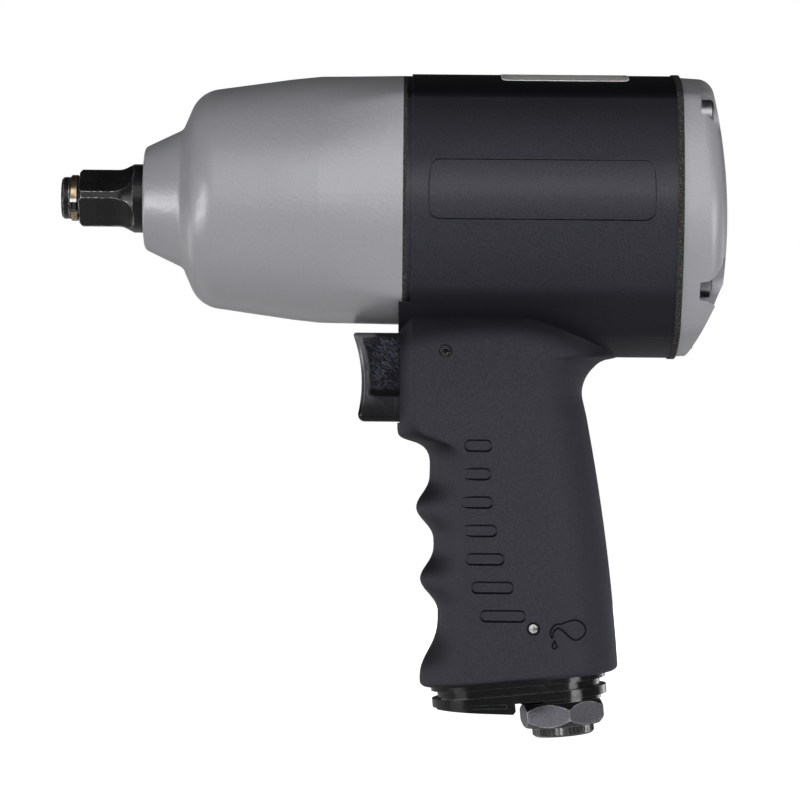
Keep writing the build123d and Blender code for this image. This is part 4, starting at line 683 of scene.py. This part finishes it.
# Rotor vanes: cotton cloth pressed with resin and sawn to size, so that the faces show the weave. They lie
# in the slots of the rotor.
laminate, tree, shader, place = new_finish("vane_laminate", Specular_IOR_Level=0.3)
weave = put(tree, "ShaderNodeTexWave", {"Vector": place, "Scale": 900.0, "Distortion": 1.5}).outputs["Fac"]
stain = use(tree, handling_marks, Vector=place, Scale=150.0)["Mask"]
colour = mixed(tree, weave, (0.24, 0.15, 0.075), (0.34, 0.225, 0.12))
colour = mixed(tree, calc(tree, "MULTIPLY", stain, 0.5), colour, (0.16, 0.10, 0.055))
rough = ease(tree, stain, 0.0, 1.0, 0.5, 0.7)
feed(tree, shader, Base_Color=colour, Roughness=rough, Normal=bump(tree, weave, 0.25, 0.00008))
dress(laminate, "rotor_vanes")


# Muffler felt: a block cut from pressed wool felt, its fibres lying every way. It stands on the deflector's
# flange and quiets the exhaust.
felt, tree, shader, place = new_finish("felt", Specular_IOR_Level=0.1, Sheen_Weight=0.3)
hairs = noise(tree, place, 1600.0, 6.0, 0.75)
colour = mixed(tree, ease(tree, hairs, 0.3, 0.7), (0.27, 0.255, 0.225), (0.46, 0.44, 0.40))
rough = ease(tree, hairs, 0.3, 0.7, 0.85, 1.0)
feed(tree, shader, Base_Color=colour, Roughness=rough, Normal=bump(tree, hairs, 0.7, 0.0004))
dress(felt, "muffler_felt")


# Trigger: moulded from glossy black acetal on a steel rod. The hollow flanks come rough from the mould, with
# short slanted marks, and fingers have scuffed the paddle and rubbed its rim pale. A painted highlight lies
# along the lip and makes the rim paler towards the top, a painted shadow line crosses the hollow under its
# ledge, and the paddle is darker towards its foot.
scuffs, given, out = shader_group("scuffs", {"Vector": (0, 0, 0), "Scale": 500.0}, ["Mask", "Height"])
stretch = put(scuffs, "ShaderNodeMapping", {"Vector": given["Vector"], "Scale": (1.0, 1.0, 0.12)})
turned = put(scuffs, "ShaderNodeMapping", {"Vector": given["Vector"], "Rotation": (0.0, 0.7, 0.0)})
across = put(scuffs, "ShaderNodeMapping", {"Vector": turned.outputs[0], "Scale": (0.10, 1.0, 1.0)})
upright = noise(scuffs, stretch.outputs[0], given["Scale"], 3.0, 0.7)
slanted = noise(scuffs, across.outputs[0], given["Scale"], 3.0, 0.7)
both = calc(scuffs, "MAXIMUM", upright, slanted)
scuffs.links.new(ease(scuffs, both, 0.52, 0.72), out["Mask"])
scuffs.links.new(both, out["Height"])

hollow_inner, hollow_outer = 0.0062, 0.0066
rim_back, rim_front = -0.0692, -0.0668
rim_low, rim_high, rim_share = -0.0600, -0.0440, 0.50
panel_lean = 0.58
panel_dark, panel_pale = (0.0016, 0.0017, 0.0028), (0.058, 0.061, 0.084)
# Painted shadow: a dark line across the hollow under its ledge.
ledge_drop, ledge_near, ledge_far = 0.0549, 0.0006, 0.0017
ledge_shadow = (0.0010, 0.0010, 0.0013)
paddle_low, paddle_high = -0.0608, -0.0570
paddle_black, scuffed_black = (0.013, 0.013, 0.015), (0.017, 0.017, 0.019)
paddle_foot = (0.006, 0.006, 0.007)
# Painted highlight along the lip of the paddle, brighter towards the top.
lip_back, lip_front = -0.0700, -0.0680
lip_low, lip_high = -0.0590, -0.0565
highlight_dim_height, highlight_bright_height = -0.0500, -0.0420
lip_highlight_dim, lip_highlight_bright = (0.035, 0.035, 0.040), (0.085, 0.085, 0.093)
rim_grey = (0.20, 0.20, 0.21)

acetal, tree, shader, place = new_finish("trigger_acetal", Specular_IOR_Level=0.05, Coat_Roughness=0.16)
lines = use(tree, scuffs, Vector=place, Scale=900.0)
grain = use(tree, moulded_grain, Vector=place, Scale=900.0)
rim = use(tree, edge_wear, Vector=place, Radius=0.0014, Breakup=420.0, Least=0.01, Most=0.10)["Mask"]
spot = parts_of(tree, place)
hollow = ease(tree, calc(tree, "ABSOLUTE", spot["Y"]), hollow_inner, hollow_outer, 1.0, 0.0)
rim = calc(tree, "MULTIPLY", rim, ease(tree, spot["X"], rim_back, rim_front))
# Painted highlight: the rim's wear is paler towards the top.
rim = calc(tree, "MULTIPLY", rim, ease(tree, spot["Z"], rim_low, rim_high, rim_share, 1.0))
leaning = put(tree, "ShaderNodeMapping", {"Vector": place, "Rotation": (0.0, panel_lean, 0.0)}).outputs[0]
leaning = put(tree, "ShaderNodeMapping", {"Vector": leaning, "Scale": (0.35, 1.0, 1.0)}).outputs[0]
streaks = ease(tree, noise(tree, leaning, 2400.0, 2.0, 0.6), 0.38, 0.66)
patches = ease(tree, noise(tree, place, 260.0, 2.0, 0.5), 0.36, 0.62, 0.30, 1.0)
streaks = calc(tree, "MULTIPLY", streaks, patches)
panel = mixed(tree, streaks, panel_dark, panel_pale)
# Painted shadow line across the hollow under its ledge.
from_ledge = calc(tree, "ABSOLUTE", calc(tree, "ADD", spot["Z"], ledge_drop))
panel = mixed(tree, ease(tree, from_ledge, ledge_near, ledge_far, 1.0, 0.0), panel, ledge_shadow)
paddle = mixed(tree, lines["Mask"], paddle_black, scuffed_black)
paddle = mixed(tree, ease(tree, spot["Z"], paddle_low, paddle_high), paddle_foot, paddle)
colour = mixed(tree, hollow, paddle, panel)
# Painted highlight: a pale band along the lip, brighter towards the top.
lip = ease(tree, spot["X"], lip_back, lip_front)
lip = calc(tree, "MULTIPLY", lip, ease(tree, spot["Z"], lip_low, lip_high))
lip = calc(tree, "MULTIPLY", lip, calc(tree, "SUBTRACT", 1.0, hollow))
lip_highlight = mixed(tree, ease(tree, spot["Z"], highlight_dim_height, highlight_bright_height), lip_highlight_dim, lip_highlight_bright)
colour = mixed(tree, lip, colour, lip_highlight)
colour = mixed(tree, calc(tree, "MULTIPLY", rim, 0.7), colour, rim_grey)
rough = calc(tree, "MULTIPLY_ADD", lines["Mask"], 0.22, 0.20)
rough = calc(tree, "MULTIPLY_ADD", hollow, 0.12, rough)
relief = calc(tree, "MULTIPLY", grain["Height"], hollow)
relief = calc(tree, "MULTIPLY_ADD", lines["Height"], 0.4, relief)
polish = calc(tree, "MULTIPLY_ADD", hollow, -0.18, 0.18)
feed(tree, shader, Base_Color=colour, Roughness=rough, Coat_Weight=polish)
feed(tree, shader, Normal=bump(tree, relief, 0.3, 0.00016))
dress(acetal, "trigger")


# Throttle spring: hard-drawn wire coiled cold. It stands on the end of the valve chamber and presses the
# ball onto its seat. In the tool it closes up along its axis by as much as the trigger is pulled; the coil
# here is drawn at rest and does not.
def coil(name, low_x, high_x, axis_height, coil_radius, wire_radius, turns):
    """Wire of a spring: a circle carried along a helix about an axis along x and kept square to it. The
    circle shrinks to a point at both ends, so that the wire is closed."""
    turn_steps = 40
    t = np.linspace(0, 1, int(turns * turn_steps) + 1)
    angle = 2 * math.pi * turns * t
    climb = high_x - low_x - 2 * wire_radius
    outward = np.stack([np.zeros_like(t), np.sin(angle), -np.cos(angle)], 1)
    onward = np.stack([np.zeros_like(t), np.cos(angle), np.sin(angle)], 1)
    onward = onward * coil_radius * 2 * math.pi * turns
    onward[:, 0] = climb
    aside = np.cross(onward / np.linalg.norm(onward, axis=1)[:, None], outward)
    middle = outward * coil_radius
    middle[:, 0] = low_x + wire_radius + climb * t
    middle[:, 2] += axis_height
    station = np.concatenate([[0], np.arange(len(t)), [len(t) - 1]])
    thick = np.concatenate([[0.0], np.full(len(t), wire_radius), [0.0]])[:, None, None]
    wire_steps = 12
    turn = np.linspace(0, 2 * math.pi, wire_steps, endpoint=False)[None, :, None]
    ring = np.cos(turn) * outward[station][:, None] + np.sin(turn) * aside[station][:, None]
    return grid_mesh(name, middle[station][:, None] + thick * ring, closed_v=True)


spring_low, spring_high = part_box("throttle_spring")
spring_axis_height = -0.0504
coil_radius, wire_radius = 0.0032, 0.0004
spring_turns = 5
spring = coil(
    "throttle_spring_coil",
    spring_low.x,
    spring_high.x,
    spring_axis_height,
    coil_radius,
    wire_radius,
    spring_turns,
)
spring.data.materials.append(ground)
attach(spring, "housing")
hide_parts("throttle_spring")
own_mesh(spring)


# Exhaust deflector and washer: moulded in glossy black nylon, smooth as the mould left it, with a few
# rubbed places along the edges. The inlet bushing holds both against the handle.
gloss, tree, shader, place = new_finish("gloss_black", Specular_IOR_Level=0.20)
lines = use(tree, scuffs, Vector=place, Scale=300.0)["Mask"]
marks = use(tree, handling_marks, Vector=place, Scale=90.0)["Mask"]
rim = use(tree, edge_wear, Vector=place, Radius=0.0004, Breakup=600.0)["Mask"]
colour = mixed(tree, calc(tree, "MULTIPLY", lines, marks), (0.0015, 0.0015, 0.0018), (0.009, 0.009, 0.010))
colour = mixed(tree, calc(tree, "MULTIPLY", rim, 0.5), colour, (0.10, 0.10, 0.105))
rough = calc(tree, "MULTIPLY_ADD", marks, 0.08, 0.12)
feed(tree, shader, Base_Color=colour, Roughness=rough, Normal=bump(tree, marks, 0.10, 0.0002))
dress(gloss, "exhaust_deflector", "inlet_washer")


# Inlet bushing: turned from hexagon bar and dipped in dark phosphate, which spanners have worn through to
# bright steel along the corners. Painted shade darkens the faces that turn up or down. The thread stands in
# its bore as a bright ridge.
chamfer_slope, chamfer_full = 0.22, 0.50
phosphate, tree, shader, place = new_finish("phosphate_steel", Metallic=0.45)
crystals = noise(tree, place, 2600.0, 4.0, 0.7)
marks = use(tree, handling_marks, Vector=place, Scale=140.0)["Mask"]
bright = use(tree, edge_wear, Vector=place, Radius=0.0006, Breakup=700.0, Least=0.015, Most=0.14)["Mask"]
colour = mixed(tree, ease(tree, crystals, 0.35, 0.65), (0.037, 0.037, 0.045), (0.088, 0.088, 0.103))
colour = mixed(tree, calc(tree, "MULTIPLY", marks, 0.3), colour, (0.105, 0.105, 0.118))
# Painted shade: near black where the surface faces up or down.
chamfer_shade = ease(tree, calc(tree, "ABSOLUTE", facing(tree)["Z"]), chamfer_slope, chamfer_full)
colour = mixed(tree, chamfer_shade, colour, (0.012, 0.012, 0.014))
colour = mixed(tree, bright, colour, (0.60, 0.59, 0.58))
rough = calc(tree, "MULTIPLY_ADD", marks, 0.08, 0.46)
feed(tree, shader, Base_Color=colour, Roughness=rough, Normal=bump(tree, crystals, 0.35, 0.00008))
dress(phosphate, "inlet_bushing")

inlet_base = np.array([-0.12185, 0.0, -0.1345])
base_tilt = math.radians(5.6)
inlet_down = np.array([-math.sin(base_tilt), 0.0, -math.cos(base_tilt)])
inlet_across = np.array([math.cos(base_tilt), 0.0, -math.sin(base_tilt)])
inch = 0.0254
threads_per_inch = 18
thread_pitch = inch / threads_per_inch
thread_start, thread_end = 0.0012, 0.0104
thread_crest, thread_root = 0.00508, 0.00568
ridge_foot, ridge_flat = 0.42, 0.06


def helix_ridge(name, crest, root, pitch, start, end):
    """Ridge of an inside thread: a blunt triangle a little narrower than the pitch, carried down a helix
    with its crest at the smaller radius, and sinking into the wall over half a turn at each end."""
    turns = (end - start) / pitch
    turn_steps = 48
    t = np.linspace(0, 1, int(turns * turn_steps))
    angle = t * turns * 2 * math.pi
    down = start + t * (end - start)
    fade = np.clip(np.minimum(t, 1 - t) * turns * 2, 0.0, 1.0)
    outline_down = np.array([-ridge_foot, -ridge_flat, ridge_flat, ridge_foot]) * pitch
    outline_in = np.array([0.0, 1.0, 1.0, 0.0])
    radius = root - (root - crest) * fade[:, None] * outline_in[None, :]
    depth = down[:, None] + outline_down[None, :]
    across = radius * np.cos(angle)[:, None]
    aside = radius * np.sin(angle)[:, None]
    points = inlet_base + depth[..., None] * inlet_down + across[..., None] * inlet_across
    points[..., 1] += aside
    return grid_mesh(name, points, closed_v=True)


thread = helix_ridge("inlet_thread", thread_crest, thread_root, thread_pitch, thread_start, thread_end)
thread.data.materials.append(drawn)
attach(thread, "housing")


# Dust plug and reverse knob: moulded in soft black plastic. The plug has a ribbed rim and is pulled out
# before the hose goes on; the knob snaps on the end of the spool below the rear cover's middle.
polythene, tree, shader, place = new_finish("plug_plastic", Specular_IOR_Level=0.5)
grain = use(tree, moulded_grain, Vector=place, Scale=2600.0)
marks = use(tree, handling_marks, Vector=place, Scale=120.0)["Mask"]
colour = mixed(tree, marks, (0.006, 0.006, 0.0070), (0.014, 0.014, 0.016))
rough = calc(tree, "MULTIPLY_ADD", marks, 0.10, 0.20)
feed(tree, shader, Base_Color=colour, Roughness=rough, Normal=bump(tree, grain["Height"], 0.25, 0.00006))
dress(polythene, "dust_plug", "reverse_knob")


# Blank sticker: white vinyl, die-cut with round corners and pressed along the crown of the body behind the
# rim. Its edges have picked up a little dirt.
def sticker(name, middle, half_length, half_width, squareness, thickness, crown_radius, crown_middle):
    """Thin closed sheet: rings of a rounded rectangle from the middle out to the rim, down its edge and
    back underneath, all laid on a cylinder that runs along the body. In each direction the rim lies where
    the sum of the powers of (along / half length) and (across / half width) is one."""
    rim_steps = 192
    turn = np.linspace(0, 2 * math.pi, rim_steps, endpoint=False)
    reach_x = np.abs(np.cos(turn) / half_length) ** squareness
    reach_y = np.abs(np.sin(turn) / half_width) ** squareness
    rim = (reach_x + reach_y) ** (-1 / squareness)
    share = np.array([0.0, 0.2, 0.4, 0.6, 0.8, 0.98, 1.0, 1.0, 0.8, 0.6, 0.4, 0.2, 0.0])[:, None]
    lift = np.array([1.0, 1.0, 1.0, 1.0, 1.0, 1.0, 0.7, -0.3, -0.3, -0.3, -0.3, -0.3, -0.3])[:, None]
    x = middle + share * rim * np.cos(turn)
    y = share * rim * np.sin(turn)
    z = np.sqrt((crown_radius + lift * thickness) ** 2 - y**2) + crown_middle
    return grid_mesh(name, np.stack([x, y, z], -1), closed_v=True)


label = sticker(
    "blank_sticker",
    middle=-0.1217,
    half_length=0.0179,
    half_width=0.0191,
    squareness=24.0,
    thickness=0.00015,
    crown_radius=0.060785,
    crown_middle=-0.024935,
)
vinyl, tree, shader, place = new_finish("white_vinyl", Specular_IOR_Level=0.45)
marks = use(tree, handling_marks, Vector=place, Scale=120.0)["Mask"]
soil = use(tree, edge_wear, Vector=place, Radius=0.0008, Breakup=900.0)["Mask"]
colour = mixed(tree, marks, (0.84, 0.84, 0.825), (0.78, 0.78, 0.765))
colour = mixed(tree, calc(tree, "MULTIPLY", soil, 0.6), colour, (0.34, 0.33, 0.31))
rough = calc(tree, "MULTIPLY_ADD", marks, 0.12, 0.36)
feed(tree, shader, Base_Color=colour, Roughness=rough)
label.data.materials.append(vinyl)
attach(label, "housing")
